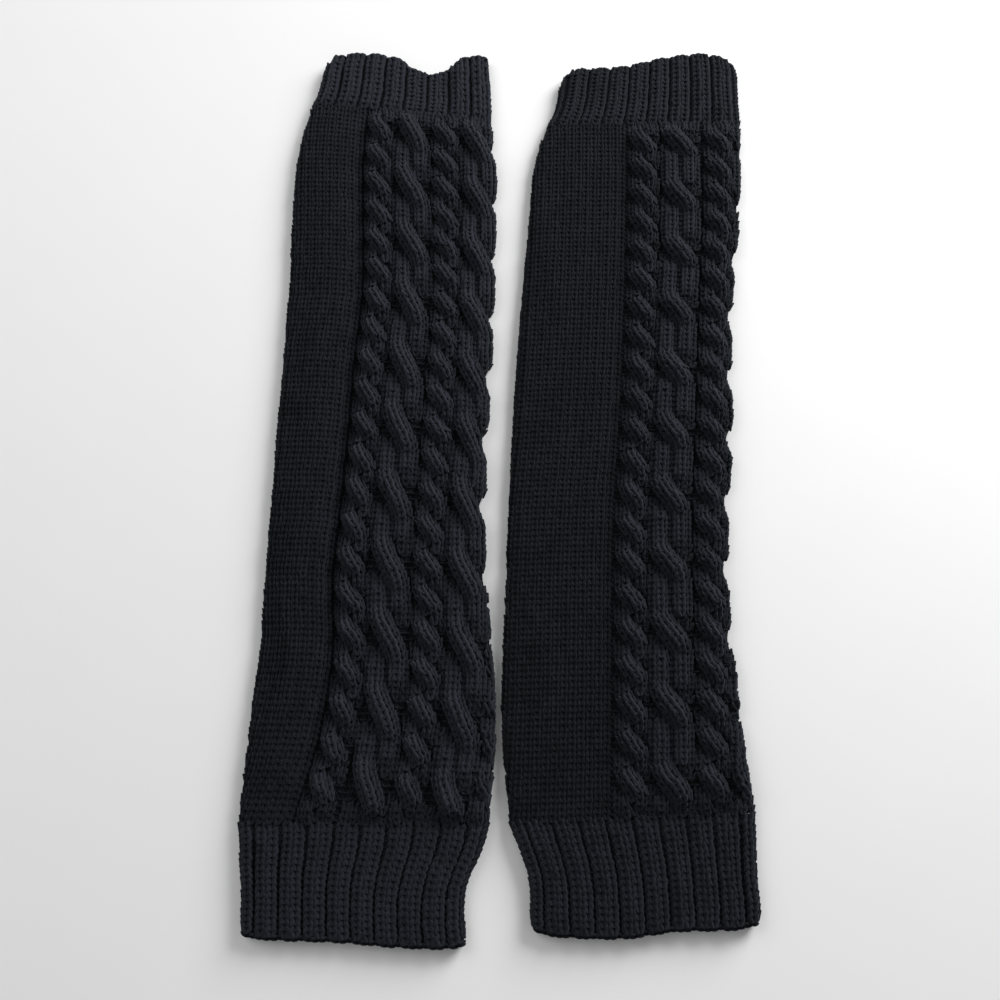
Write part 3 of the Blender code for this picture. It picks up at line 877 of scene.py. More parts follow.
@dataclass
class Seeds:
    """Where the stitches of one piece go.

    Each list holds one array a batch: places in metres, directions out of and
    along the cloth, the stretch of a stitch across, along and out, and its shade,
    which mixes random tone with painted light and shade.
    A stitch slips from its place by the slip, in millimetres, less so out of the
    cloth, and its size varies by the spread.
    """

    place: list[Array] = field(default_factory=list)
    out: list[Array] = field(default_factory=list)
    along: list[Array] = field(default_factory=list)
    stretch: list[Array] = field(default_factory=list)
    shade: list[Array] = field(default_factory=list)
    slip: float = 0.09
    slip_shares: tuple[float, float, float] = (1.0, 1.0, 0.3)
    spread: float = 0.04

    def sow(
        self, ground: BVHTree, points: Array, along: Array, stretch: Array, rise: float, shade: Array
    ) -> None:
        """Set stitches down on the cloth.

        Args:
            ground: The cloth's faces.
            points: Rough places of the stitches, in table millimetres.
            along: Their directions along the knitting.
            stretch: Their stretch across and along.
            rise: How far they stand out of the cloth, in millimetres.
            shade: How light each one is, from 0 to 1.
        """
        if not len(points):
            return
        found = [ground.find_nearest(Vector(point)) for point in placed(points)]
        outs = np.array([normal for _, normal, _, _ in found], float)
        dice = np.random.default_rng(SEED + len(self.place))
        slip = dice.normal(0.0, self.slip, (len(points), 3)) * np.array(self.slip_shares)
        self.place.append(np.array([spot for spot, _, _, _ in found], float) + (outs * rise + slip) * MM)
        self.out.append(outs)
        self.along.append(np.array(along, float))
        full = dice.normal(1.0, self.spread, (len(points), 3))
        full[:, :2] *= stretch
        self.stretch.append(full)
        self.shade.append(np.asarray(shade, float))

    def mesh(self, name: str) -> bpy.types.Mesh:
        """Make the mesh that the stitches are knitted on.

        Args:
            name: The mesh's name.

        Returns:
            Loose points that carry the directions, stretch and shade.
        """
        mesh = bpy.data.meshes.new(name)
        mesh.from_pydata(np.concatenate(self.place).tolist(), [], [])
        for label, values in (("out", self.out), ("along", self.along), ("stretch", self.stretch)):
            attribute = mesh.attributes.new(label, "FLOAT_VECTOR", "POINT")
            attribute.data.foreach_set("vector", np.concatenate(values).reshape(-1).astype(np.float32))
        shade = mesh.attributes.new("shade", "FLOAT", "POINT")
        shade.data.foreach_set("value", np.concatenate(self.shade).astype(np.float32))
        return mesh


# Corners of each limb's curve in a stitch: shares of its width and height, and
# of the rise that the yarn takes out of the cloth
PURL_BAR = (((-0.5, 0.1, -1.2), (0.0, -0.2, 2.2), (0.5, 0.1, -1.2)),)
KNIT_LIMBS = (
    ((-0.09, -0.76, -1.3), (-0.36, 0.0, 2.3), (-0.33, 0.76, -2.0)),
    ((0.09, -0.76, -1.3), (0.36, 0.0, 2.3), (0.33, 0.76, -2.0)),
)


@dataclass(frozen=True)
class StitchMaker:
    """Knits one stitch of yarn on each seed with Geometry Nodes.

    Lengths are millimetres. The end share is how thin the yarn gets at its ends,
    and the turn how far, in radians, a stitch may be turned from its direction.
    """

    kind: Stitch
    width: float = CLOTH.wale
    height: float = CLOTH.row
    radius: float = 1.0
    end_share: float = 0.35
    rise: float = 0.4
    turn: float = 0.07
    curve_steps: int = 4
    ring_points: int = 4

    def tree(self) -> bpy.types.NodeTree:
        """Build the tree that makes a stitch and sets it on every point.

        Returns:
            The tree, with the sizes of a stitch, the seed and the yarn as inputs.
        """
        tree = bpy.data.node_groups.new(self.kind.value + "_stitches", "GeometryNodeTree")
        sockets = tree.interface
        sockets.new_socket("Geometry", in_out="INPUT", socket_type="NodeSocketGeometry")
        for label in ("Stitch width", "Stitch height", "Yarn radius", "Yarn rise", "Uneven turn"):
            sockets.new_socket(label, in_out="INPUT", socket_type="NodeSocketFloat")
        sockets.new_socket("Seed", in_out="INPUT", socket_type="NodeSocketInt")
        sockets.new_socket("Yarn", in_out="INPUT", socket_type="NodeSocketMaterial")
        sockets.new_socket("Geometry", in_out="OUTPUT", socket_type="NodeSocketGeometry")
        graph = Graph(tree)
        given = graph.node("NodeGroupInput")
        copies = graph.node(
            "GeometryNodeInstanceOnPoints",
            inputs={
                "Points": given.outputs["Geometry"],
                "Instance": self.yarn(graph, given),
                "Rotation": self.rotation(graph, given),
                "Scale": self.named(graph, "stretch"),
            },
        )
        real = graph.node("GeometryNodeRealizeInstances", inputs={0: copies.outputs[0]})
        soft = graph.node("GeometryNodeSetShadeSmooth", inputs={0: real.outputs[0]})
        dyed = graph.node(
            "GeometryNodeSetMaterial",
            inputs={"Geometry": soft.outputs[0], "Material": given.outputs["Yarn"]},
        )
        graph.node("NodeGroupOutput", inputs={0: dyed.outputs[0]})
        return tree

    def named(self, graph: Graph, label: str) -> bpy.types.NodeSocket:
        """Vector that each seed carries under a name."""
        kind = "GeometryNodeInputNamedAttribute"
        return graph.node(kind, {"data_type": "FLOAT_VECTOR"}, {"Name": label}).outputs[0]

    def stored(
        self, graph: Graph, shape: bpy.types.NodeSocket, label: str, kind: str, value: Signal
    ) -> bpy.types.NodeSocket:
        """Store a value on every point of a shape.

        Args:
            graph: The tree's builder.
            shape: The shape.
            label: Name of the attribute.
            kind: Its data type.
            value: The value.

        Returns:
            The shape with its attribute, as a socket.
        """
        settings = {"data_type": kind, "domain": "POINT"}
        inputs = {"Geometry": shape, "Name": label, "Value": value}
        return graph.node("GeometryNodeStoreNamedAttribute", settings, inputs).outputs[0]

    def yarn(self, graph: Graph, given: bpy.types.Node) -> bpy.types.NodeSocket:
        """Sweep the yarn of one stitch along its limbs.

        Args:
            graph: The tree's builder.
            given: The tree's inputs.

        Returns:
            The stitch, which knows the place along and round its yarn.
        """
        width, height = graph.value(given, "Stitch width"), graph.value(given, "Stitch height")
        rise = graph.value(given, "Yarn rise")
        limbs = graph.node("GeometryNodeJoinGeometry")
        for corners in PURL_BAR if self.kind is Stitch.PURL else KNIT_LIMBS:
            ends = [graph.vector(width * x, height * y, rise * z) for x, y, z in corners]
            inputs = {"Resolution": self.curve_steps, "Start": ends[0], "Middle": ends[1], "End": ends[2]}
            curve = graph.node("GeometryNodeCurveQuadraticBezier", inputs=inputs)
            graph.tree.links.new(curve.outputs[0], limbs.inputs[0])
        factor = graph.value(graph.node("GeometryNodeSplineParameter"), "Factor")
        thick = (factor * math.pi).math("SINE") * (1.0 - self.end_share) + self.end_share
        limb = self.stored(graph, limbs.outputs[0], "strand", "FLOAT", factor)
        ring = graph.node(
            "GeometryNodeCurvePrimitiveCircle",
            inputs={"Resolution": self.ring_points, "Radius": given.outputs["Yarn radius"]},
        )
        turn = graph.value(graph.node("GeometryNodeSplineParameter"), "Factor") * (2 * math.pi)
        around = graph.vector(turn.math("COSINE"), turn.math("SINE"), 0.0)
        ring = self.stored(graph, ring.outputs[0], "around", "FLOAT_VECTOR", around)
        inputs = {"Curve": limb, "Profile Curve": ring, "Scale": thick, "Fill Caps": True}
        return graph.node("GeometryNodeCurveToMesh", inputs=inputs).outputs[0]

    def rotation(self, graph: Graph, given: bpy.types.Node) -> bpy.types.NodeSocket:
        """Turn each stitch out of and along its cloth, a little unevenly.

        Args:
            graph: The tree's builder.
            given: The tree's inputs.

        Returns:
            The rotation of each stitch.
        """
        facing = graph.node(
            "FunctionNodeAxesToRotation",
            {"primary_axis": "Z", "secondary_axis": "Y"},
            {0: self.named(graph, "out"), 1: self.named(graph, "along")},
        )
        most = graph.value(given, "Uneven turn")
        least = most * -1.0
        jitter = graph.node(
            "FunctionNodeRandomValue",
            {"data_type": "FLOAT_VECTOR"},
            {
                0: graph.vector(least, least, least),
                1: graph.vector(most, most, most),
                "Seed": given.outputs["Seed"],
            },
        )
        euler = graph.node("FunctionNodeEulerToRotation", inputs={0: jitter.outputs[0]})
        both = {0: facing.outputs[0], 1: euler.outputs[0]}
        return graph.node("FunctionNodeRotateRotation", {"rotation_space": "LOCAL"}, both).outputs[0]

    def knit(self, name: str, seeds: Seeds, yarn: bpy.types.Material) -> bpy.types.Object:
        """Make the stitches of one piece.

        Args:
            name: The piece's name.
            seeds: Where they go.
            yarn: Their material.

        Returns:
            The piece as a plain mesh, in the row frame, none of it under the table.
        """
        maker = bpy.data.objects.new(name + "_seeds", seeds.mesh(name + "_seeds"))
        bpy.context.scene.collection.objects.link(maker)
        modifier = maker.modifiers.new("stitches", "NODES")
        modifier.node_group = tree = self.tree()
        sizes = {
            "Stitch width": self.width * MM,
            "Stitch height": self.height * MM,
            "Yarn radius": self.radius * MM,
            "Yarn rise": self.rise * MM,
            "Uneven turn": self.turn,
            "Seed": SEED,
            "Yarn": yarn,
        }
        for item in tree.interface.items_tree:
            if item.in_out == "INPUT" and item.name in sizes:
                modifier[item.identifier] = sizes[item.name]
        bpy.context.view_layer.update()
        finished = maker.evaluated_get(bpy.context.evaluated_depsgraph_get())
        mesh = bpy.data.meshes.new_from_object(finished)
        bpy.data.objects.remove(maker, do_unlink=True)
        for label in ("out", "along", "stretch"):
            if label in mesh.attributes:
                mesh.attributes.remove(mesh.attributes[label])
        for vertex in mesh.vertices:
            vertex.co.z = max(vertex.co.z, 0.0)
        mesh.name = name
        piece = bpy.data.objects.new(name, mesh)
        bpy.context.scene.collection.objects.link(piece)
        return piece


@dataclass(frozen=True)
class StrandKnit:
    """How the wales of a strand lie on it.

    The turn is the share of half a turn that they cover, and the overlap is their
    width together in half widths of the strand. A back strand shows no stitches
    where it leans more than its lean, in radians. The margin is how far a strand
    may lie under another and still be knitted, the floor how high a stitch lies at
    least, and the lift how far over the cloth its nearest place is looked for. By
    the right fold a stitch comes down from the edge start on, lies no further than
    the reach past the edge, and has the height found at the inset before it.
    """

    turn: float = 0.86
    overlap: float = 2.45
    back_lean: float = 0.5
    margin: float = 0.1
    floor: float = 1.3
    lift: float = 0.4
    rise: float = 0.1
    edge_start: float = 1.0
    edge_reach: float = 0.5
    edge_inset: float = 0.6
    # Painted light and shade: a rope stitch is painted lighter the higher it stands over the crest start, so
    # crests look lit and stitches low in the pockets look shaded; the crest shading sets how much.
    crest_start: float = -0.3
    shade: float = 0.14
    painted_crest_shading: float = 0.66
    shades: float = 0.24


@dataclass(frozen=True)
class PurlGround:
    """The purl bumps beside and between the ropes.

    Widths are in stitches. The side is where a rope's own bumps lie, in half widths
    past its reach, with a second line one step further out. Bumps show where less
    than the relief stands over them, and clear of the edge.
    """

    groove_inset: float = 0.3
    groove_width: float = 0.9
    valley_width: float = 1.2
    last_valley_width: float = 1.0
    side: float = 0.35
    side_width: float = 0.9
    step: float = 1.6
    outer_width: float = 0.7
    relief: float = 1.1
    edge_room: float = 2.0
    # Painted shade: purl bumps get a low shade because they lie down in the valleys.
    shade: float = 0.15
    shades: float = 0.2


STRAND_KNIT = StrandKnit()
PURL_GROUND = PurlGround()


# Sub-assemblies


@dataclass
class KnittedBody:
    """Body of one warmer: plain panel, cables and the fold they run round.

    The valley is where the lowest line between two ropes lies, the columns and
    rows are the steps of its cloth, and the tone lightens or darkens its stitches:
    a painted light and shade for how brightly this piece is lit, as both warmers
    share one yarn.
    """

    side: str
    stations: tuple[Station, ...]
    lower: Seam
    upper: Seam
    wide_share: float
    tone: float
    creases: tuple[Crease, ...]
    cloth_finish: ClothFinish = BODY_CLOTH
    yarn_finish: YarnFinish = BODY_YARN
    far_cable: float = 15.6
    valley: float = 0.43
    scallop_width: float = 0.3
    fold_steepness: float = 2.0
    dip_reach: float = 5.0
    cable_start: float = 2.5
    cable_at_seam: float = 0.2
    plain_columns: int = 16
    cable_columns: int = 62
    under_columns: int = 16
    section_rows: float = 0.65
    inner_sections: int = 24
    most_wales: int = 36
    groove_gap: float = 2.0
    foot_room: float = 2.0
    panel_rise: float = 0.05
    panel_shades: float = 0.26
    purl_radius: float = 0.62

    @property
    def row_length(self) -> float:
        """Length of a knitted row."""
        return (self.upper.left - self.lower.left) / BODY_ROWS

    @property
    def flat_size(self) -> tuple[float, float]:
        """Size of the cloth, cut open along one fold.

        Returns:
            The width all round the tube, and its mean length.
        """
        share = np.linspace(0.0, 1.0, 21)
        width = float(np.mean(self.at("right", share) - self.at("left", share)))
        length = (self.upper.left + self.upper.right - self.lower.left - self.lower.right) / 2
        return 2 * width, length

    def at(self, column: str, share: Array) -> Array:
        """Column of the table at shares of the length."""
        return along_table(self.stations, column, share)

    def along(self, x: Array, share: Array) -> Array:
        """Find places along the warmer.

        Args:
            x: Places across.
            share: Shares of the rows.

        Returns:
            The places, between the slanting seams.
        """
        left, right = self.at("left", share), self.at("right", share)
        across = np.clip((x - left) / (right - left), 0.0, 1.0)
        low = mix(self.lower.left, self.lower.right, across) + CLOTH.seam_gap / 2
        high = mix(self.upper.left, self.upper.right, across) - CLOTH.seam_gap / 2
        return mix(low, high, share)

    def edge(self, share: Array) -> Array:
        """Find the right edge.

        Args:
            share: Shares of the rows.

        Returns:
            Its places across, drawn in where the cable on the fold crosses.
        """
        turns = (share * BODY_ROWS - FIRST_CROSSING - EDGE_ROPE.lag) / WIDE_PITCH
        local = turns - np.floor(turns + 0.5)
        return self.at("right", share) - self.at("scallop", share) * hill(local, self.scallop_width)

    def wall_height(self, x: Array, share: Array) -> Array:
        """Find the height of the wall without its cables.

        Args:
            x: Places across.
            share: Shares of the rows.

        Returns:
            The height, with the panel's ridge, the dip beside the cables and the
            creases.
        """
        groove, fold = self.at("groove", share), self.at("fold", share)
        below = hill(x - fold, fold - self.at("left", share))
        reach = np.clip((x - fold) / (groove - fold), 0.0, 1.0)
        above = hill(reach**self.fold_steepness, 1.0)
        height = CLOTH.height + self.at("fold_height", share) * np.where(x < fold, below, above)
        height = height - self.at("dip", share) * hill(x - groove, self.dip_reach)
        return height + crease_height(self.creases, x, self.along(x, share))

    def ropes(self, share: Array) -> list[tuple[Array, Rope]]:
        """List the ropes from the groove on.

        Args:
            share: Shares of the rows.

        Returns:
            Middle and form of each, the last ones on the fold.
        """
        d = self.at("d", share)
        return [
            (self.at("a", share), NARROW_ROPE),
            (self.at("b", share), replace(WIDE_ROPE, cross_share=self.wide_share)),
            (self.at("c", share), NARROW_ROPE),
            (d, replace(EDGE_ROPE, cross_share=self.wide_share)),
            (d + self.far_cable, NARROW_ROPE),
        ]

    def faded(self, share: Array) -> Array:
        """Share of their height that the ropes keep near a seam."""
        fade = eased(np.minimum(share, 1.0 - share) * BODY_ROWS / self.cable_start)
        return mix(self.cable_at_seam, 1.0, fade)

    def relief(self, x: Array, share: Array) -> Array:
        """Find how high the ropes stand over the wall.

        Args:
            x: Places across.
            share: Shares of the rows.

        Returns:
            The height of the highest rope there, or 0.
        """
        relief = np.zeros(np.broadcast(x, share).shape)
        for middle, rope in self.ropes(share):
            height = rope_relief(rope, x - middle, share * BODY_ROWS, self.row_length)
            relief = np.maximum(relief, height)
        return relief * self.faded(share)

    def own_height(self, number: int, side: int, x: Array, share: Array) -> Array:
        """Find how high one strand alone stands over the wall.

        Args:
            number: Which rope.
            side: 0 for its front strand, 1 for the back one.
            x: Places across.
            share: Shares of the rows.

        Returns:
            The strand's height there, 0 beside it.
        """
        middle, rope = self.ropes(share)[number]
        offside, slope, lift = strands(rope, share * BODY_ROWS)[side]
        lean = np.arctan(slope / self.row_length)
        distance = np.abs(x - middle - offside) * np.cos(lean) / rope.half_width
        return strand_height(rope, lift, distance) * self.faded(share)

    def top_height(self, x: Array, share: Array, sink: float) -> Array:
        """Find the height of the outer face, rounded at the folds.

        Args:
            x: Places across.
            share: Shares of the rows.
            sink: How far to stay under the crests.

        Returns:
            The heights.
        """
        height = self.wall_height(x, share) + self.relief(x, share) - sink
        left, right = self.at("left", share) + sink, self.edge(share) - sink
        sides = np.minimum(rounded(x - left, CLOTH.plain_fold), rounded(right - x, CLOTH.cable_fold))
        return mix(CLOTH.fold_height, height, sides)

    def sections(self, share: Array, sink: float) -> Array:
        """Make loops round the outer face, from the left foot over the top.

        Args:
            share: Shares of the rows, one for each loop.
            sink: How far to stay under the crests.

        Returns:
            Points, a row for each loop.
        """
        share = np.asarray(share, float)[:, None]
        left, right = self.at("left", share) + sink, self.edge(share) - sink
        groove = self.at("groove", share)
        plain = np.linspace(0.0, 1.0, self.plain_columns, endpoint=False)[None]
        cables = np.linspace(0.0, 1.0, self.cable_columns)[None]
        under = np.linspace(0.0, 1.0, self.under_columns + 2)[None, 1:-1]
        tops = np.concatenate(
            [
                left + fold_inset(PLAIN_TURNS, CLOTH.plain_fold),
                mix(left + CLOTH.plain_fold, groove, plain),
                mix(groove, right - CLOTH.cable_fold, cables),
                right - fold_inset(CABLE_TURNS, CLOTH.cable_fold),
            ],
            axis=1,
        )
        heights = self.top_height(tops, share + 0.0 * tops, sink)
        foot, rise = fold_foot()
        rise = rise + 0.0 * share
        bottom = mix(right - CLOTH.tuck, left + CLOTH.tuck, under)
        x = np.concatenate([left + foot, tops, (right - foot)[:, ::-1], bottom], axis=1)
        z = np.concatenate([rise, heights, rise[:, ::-1], 0.0 * bottom], axis=1)
        return np.stack([x, self.along(x, share + 0.0 * x), z], axis=2)

    def inside(self, outer: Array, share: Array) -> Array:
        """Make loops round the space inside.

        Args:
            outer: Loops round the outer face.
            share: Their shares of the rows.

        Returns:
            Points, as many in a loop as the outer face has.
        """
        share = np.asarray(share, float)[:, None]
        x, opened = slit_places(outer, self.at("left", share), self.edge(share))
        roof = self.wall_height(x, share + 0.0 * x) - CLOTH.wall
        roof = np.maximum(roof, CLOTH.wall + CLOTH.slit_least)
        under = np.maximum(outer[:, :, 2] - CLOTH.least_wall, CLOTH.wall + CLOTH.slit_touch)
        z = slit_heights(outer, opened, np.minimum(roof, under))
        return np.stack([x, self.along(x, share + 0.0 * x), z], axis=2)

    def cloth(self) -> tuple[bpy.types.Object, BVHTree]:
        """Make the tube of cloth under the stitches.

        Returns:
            The tube and its outer faces.
        """
        share = np.linspace(0.0, 1.0, round(BODY_ROWS / self.section_rows) + 1)
        few = np.linspace(0.0, 1.0, self.inner_sections)
        outer = self.sections(share, CLOTH.sink)
        inner = self.inside(self.sections(few, CLOTH.sink), few)
        name = f"{self.side}_body_cloth"
        return tube(name, outer, inner, share * BODY_ROWS, self.cloth_finish.material())

    def panel_seeds(self, ground: BVHTree, dice: Dice) -> Seeds:
        """Place the knit stitches of the plain panel, in wales beside the groove.

        Args:
            ground: The cloth's faces.
            dice: Source of the shades.

        Returns:
            The stitches' places, round the left fold to its foot.
        """
        rows = np.arange(BODY_ROWS + 1)
        loops = self.sections(np.clip((rows + 0.5) / BODY_ROWS, 0.0, 1.0), CLOTH.sink)
        grid = np.full((len(rows), self.most_wales, 3), np.nan)
        steps = (np.arange(self.most_wales) + 0.5) * CLOTH.wale + self.groove_gap
        start = len(FOOT_TURNS) + len(PLAIN_TURNS) + self.plain_columns
        for row, loop in enumerate(loops):
            path = loop[start::-1]
            legs = np.linalg.norm(np.diff(path[:, [0, 2]], axis=0), axis=1)
            length = np.concatenate([[0.0], np.cumsum(legs)])
            reached = steps < length[-1] - self.foot_room
            for axis in range(3):
                grid[row, reached, axis] = np.interp(steps[reached], length, path[:, axis])
        run = np.gradient(grid, axis=0)
        good = np.isfinite(grid).all(2) & np.isfinite(run).all(2)
        good[-1] = False
        count = int(good.sum())
        stretch = np.ones((count, 2))
        stretch[:, 1] = np.linalg.norm(run[good], axis=1) / CLOTH.row
        # The piece's tone is painted light and shade; the random part is the yarn's own unevenness.
        shade = self.tone + self.panel_shades * dice.random(count)
        seeds = Seeds()
        seeds.sow(ground, grid[good], run[good], stretch, self.panel_rise, shade)
        return seeds

    def sow_wale(self, seeds: Seeds, ground: BVHTree, dice: Dice, number: int, side: int, wale: int) -> None:
        """Place the stitches of one wale, where its strand lies on top.

        Args:
            seeds: Where they are added.
            ground: The cloth's faces.
            dice: Source of the shades.
            number: Which rope.
            side: 0 for its front strand, 1 for the back one.
            wale: Which wale of the strand.
        """
        row = np.arange(BODY_ROWS) + 0.5
        share = row / BODY_ROWS
        middle, rope = self.ropes(share)[number]
        offside, slope, _ = strands(rope, row)[side]
        lean = np.arctan(slope / self.row_length)
        turn = ((wale + 0.5) / rope.wales - 0.5) * math.pi * STRAND_KNIT.turn
        offset = rope.half_width * math.sin(turn)
        x = middle + offside + offset * np.cos(lean)
        shift = -offset * np.sin(lean)
        there = np.clip(share + shift / self.row_length / BODY_ROWS, 0.0, 1.0)
        own = self.own_height(number, side, x, there)
        shown = own > self.relief(x, there) - STRAND_KNIT.margin
        shown &= (side == 0) | (np.abs(lean) < STRAND_KNIT.back_lean)
        right = self.edge(there) - CLOTH.sink
        over = np.maximum(x - (right - STRAND_KNIT.edge_start), 0.0)
        on_edge = np.minimum(x, right + STRAND_KNIT.edge_reach)
        before = np.minimum(x, right - STRAND_KNIT.edge_inset)
        z = self.top_height(before, there, CLOTH.sink) - over
        shown &= z > STRAND_KNIT.floor
        points = np.stack([on_edge, self.along(on_edge, there), z + STRAND_KNIT.lift], axis=1)
        centre = np.gradient(middle) / self.row_length
        run = np.stack([np.sin(lean) + centre, np.cos(lean), 0.0 * row], axis=1)
        width = rope.half_width * STRAND_KNIT.overlap / rope.wales / CLOTH.wale
        height = self.row_length / CLOTH.row / np.cos(lean)
        stretch = np.stack([np.full_like(row, width), height], axis=1)
        # Painted light and shade: stitches high on a strand are painted lighter and those low by the
        # crossings darker, standing in for the light on the crests and the shade in the pockets.
        crest = (own - STRAND_KNIT.crest_start) / (rope.height + rope.lift)
        shade = STRAND_KNIT.shade + self.tone + STRAND_KNIT.painted_crest_shading * np.clip(crest, 0.0, 1.0)
        shade = shade + STRAND_KNIT.shades * dice.random(BODY_ROWS)
        seeds.sow(ground, points[shown], run[shown], stretch[shown], STRAND_KNIT.rise, shade[shown])

    def rope_seeds(self, ground: BVHTree, dice: Dice) -> Seeds:
        """Place the knit stitches that follow the strands of each rope.

        Args:
            ground: The cloth's faces.
            dice: Source of the shades.

        Returns:
            The stitches' places.
        """
        seeds = Seeds()
        for number, (_, rope) in enumerate(self.ropes(np.zeros(1))):
            for side in (0, 1):
                for wale in range(rope.wales):
                    self.sow_wale(seeds, ground, dice, number, side, wale)
        return seeds

    def purl_seeds(self, ground: BVHTree, dice: Dice) -> Seeds:
        """Place the purl bumps in the groove, and in the valleys between the ropes.

        Args:
            ground: The cloth's faces.
            dice: Source of the shades.

        Returns:
            The bumps' places.
        """
        purl = PURL_GROUND
        row = np.arange(BODY_ROWS) + 0.5
        share = row / BODY_ROWS
        a, b, c, d = (self.at(name, share) for name in "abcd")
        # The groove's bumps get no shade at all, a painted shade for the groove; the rest get the low purl
        # shade, a painted shade for the valleys.
        lines = [
            (self.at("groove", share) - purl.groove_inset, purl.groove_width, 0.0),
            (mix(a, b, self.valley), purl.valley_width, purl.shade),
            (mix(c, b, self.valley), purl.valley_width, purl.shade),
            (mix(c, d, self.valley), purl.last_valley_width, purl.shade),
        ]
        for middle, rope in self.ropes(share):
            side = rope.reach + purl.side * rope.half_width
            for out, width in ((side, purl.side_width), (side + purl.step, purl.outer_width)):
                lines += [(middle - out, width, purl.shade), (middle + out, width, purl.shade)]
        seeds = Seeds()
        for line, width, tone in lines:
            shown = (line < self.edge(share) - purl.edge_room) & (self.relief(line, share) < purl.relief)
            if not shown.any():
                continue
            run = np.stack([np.gradient(line) / self.row_length, np.ones_like(row), 0.0 * row], axis=1)
            height = self.top_height(line, share, CLOTH.sink)
            points = np.stack([line, self.along(line, share), height], axis=1)
            stretch = np.tile([width, self.row_length / CLOTH.row], (int(shown.sum()), 1))
            shade = tone + purl.shades * dice.random(len(stretch))
            seeds.sow(ground, points[shown], run[shown], stretch, 0.0, shade)
        return seeds

    def build(self) -> bpy.types.Object:
        """Make the body's cloth and stitches and tie them to the frame.

        Returns:
            The body's cloth.
        """
        dice = np.random.default_rng(SEED)
        cloth, ground = self.cloth()
        yarn = self.yarn_finish.material()
        knit, purl = StitchMaker(Stitch.KNIT), StitchMaker(Stitch.PURL, radius=self.purl_radius)
        stitches = [
            knit.knit(f"{self.side}_panel_stitches", self.panel_seeds(ground, dice), yarn),
            knit.knit(f"{self.side}_cable_stitches", self.rope_seeds(ground, dice), yarn),
            purl.knit(f"{self.side}_purl_stitches", self.purl_seeds(ground, dice), yarn),
        ]
        finish_piece(cloth, stitches, f"{self.side}_body", self.flat_size)
        return cloth


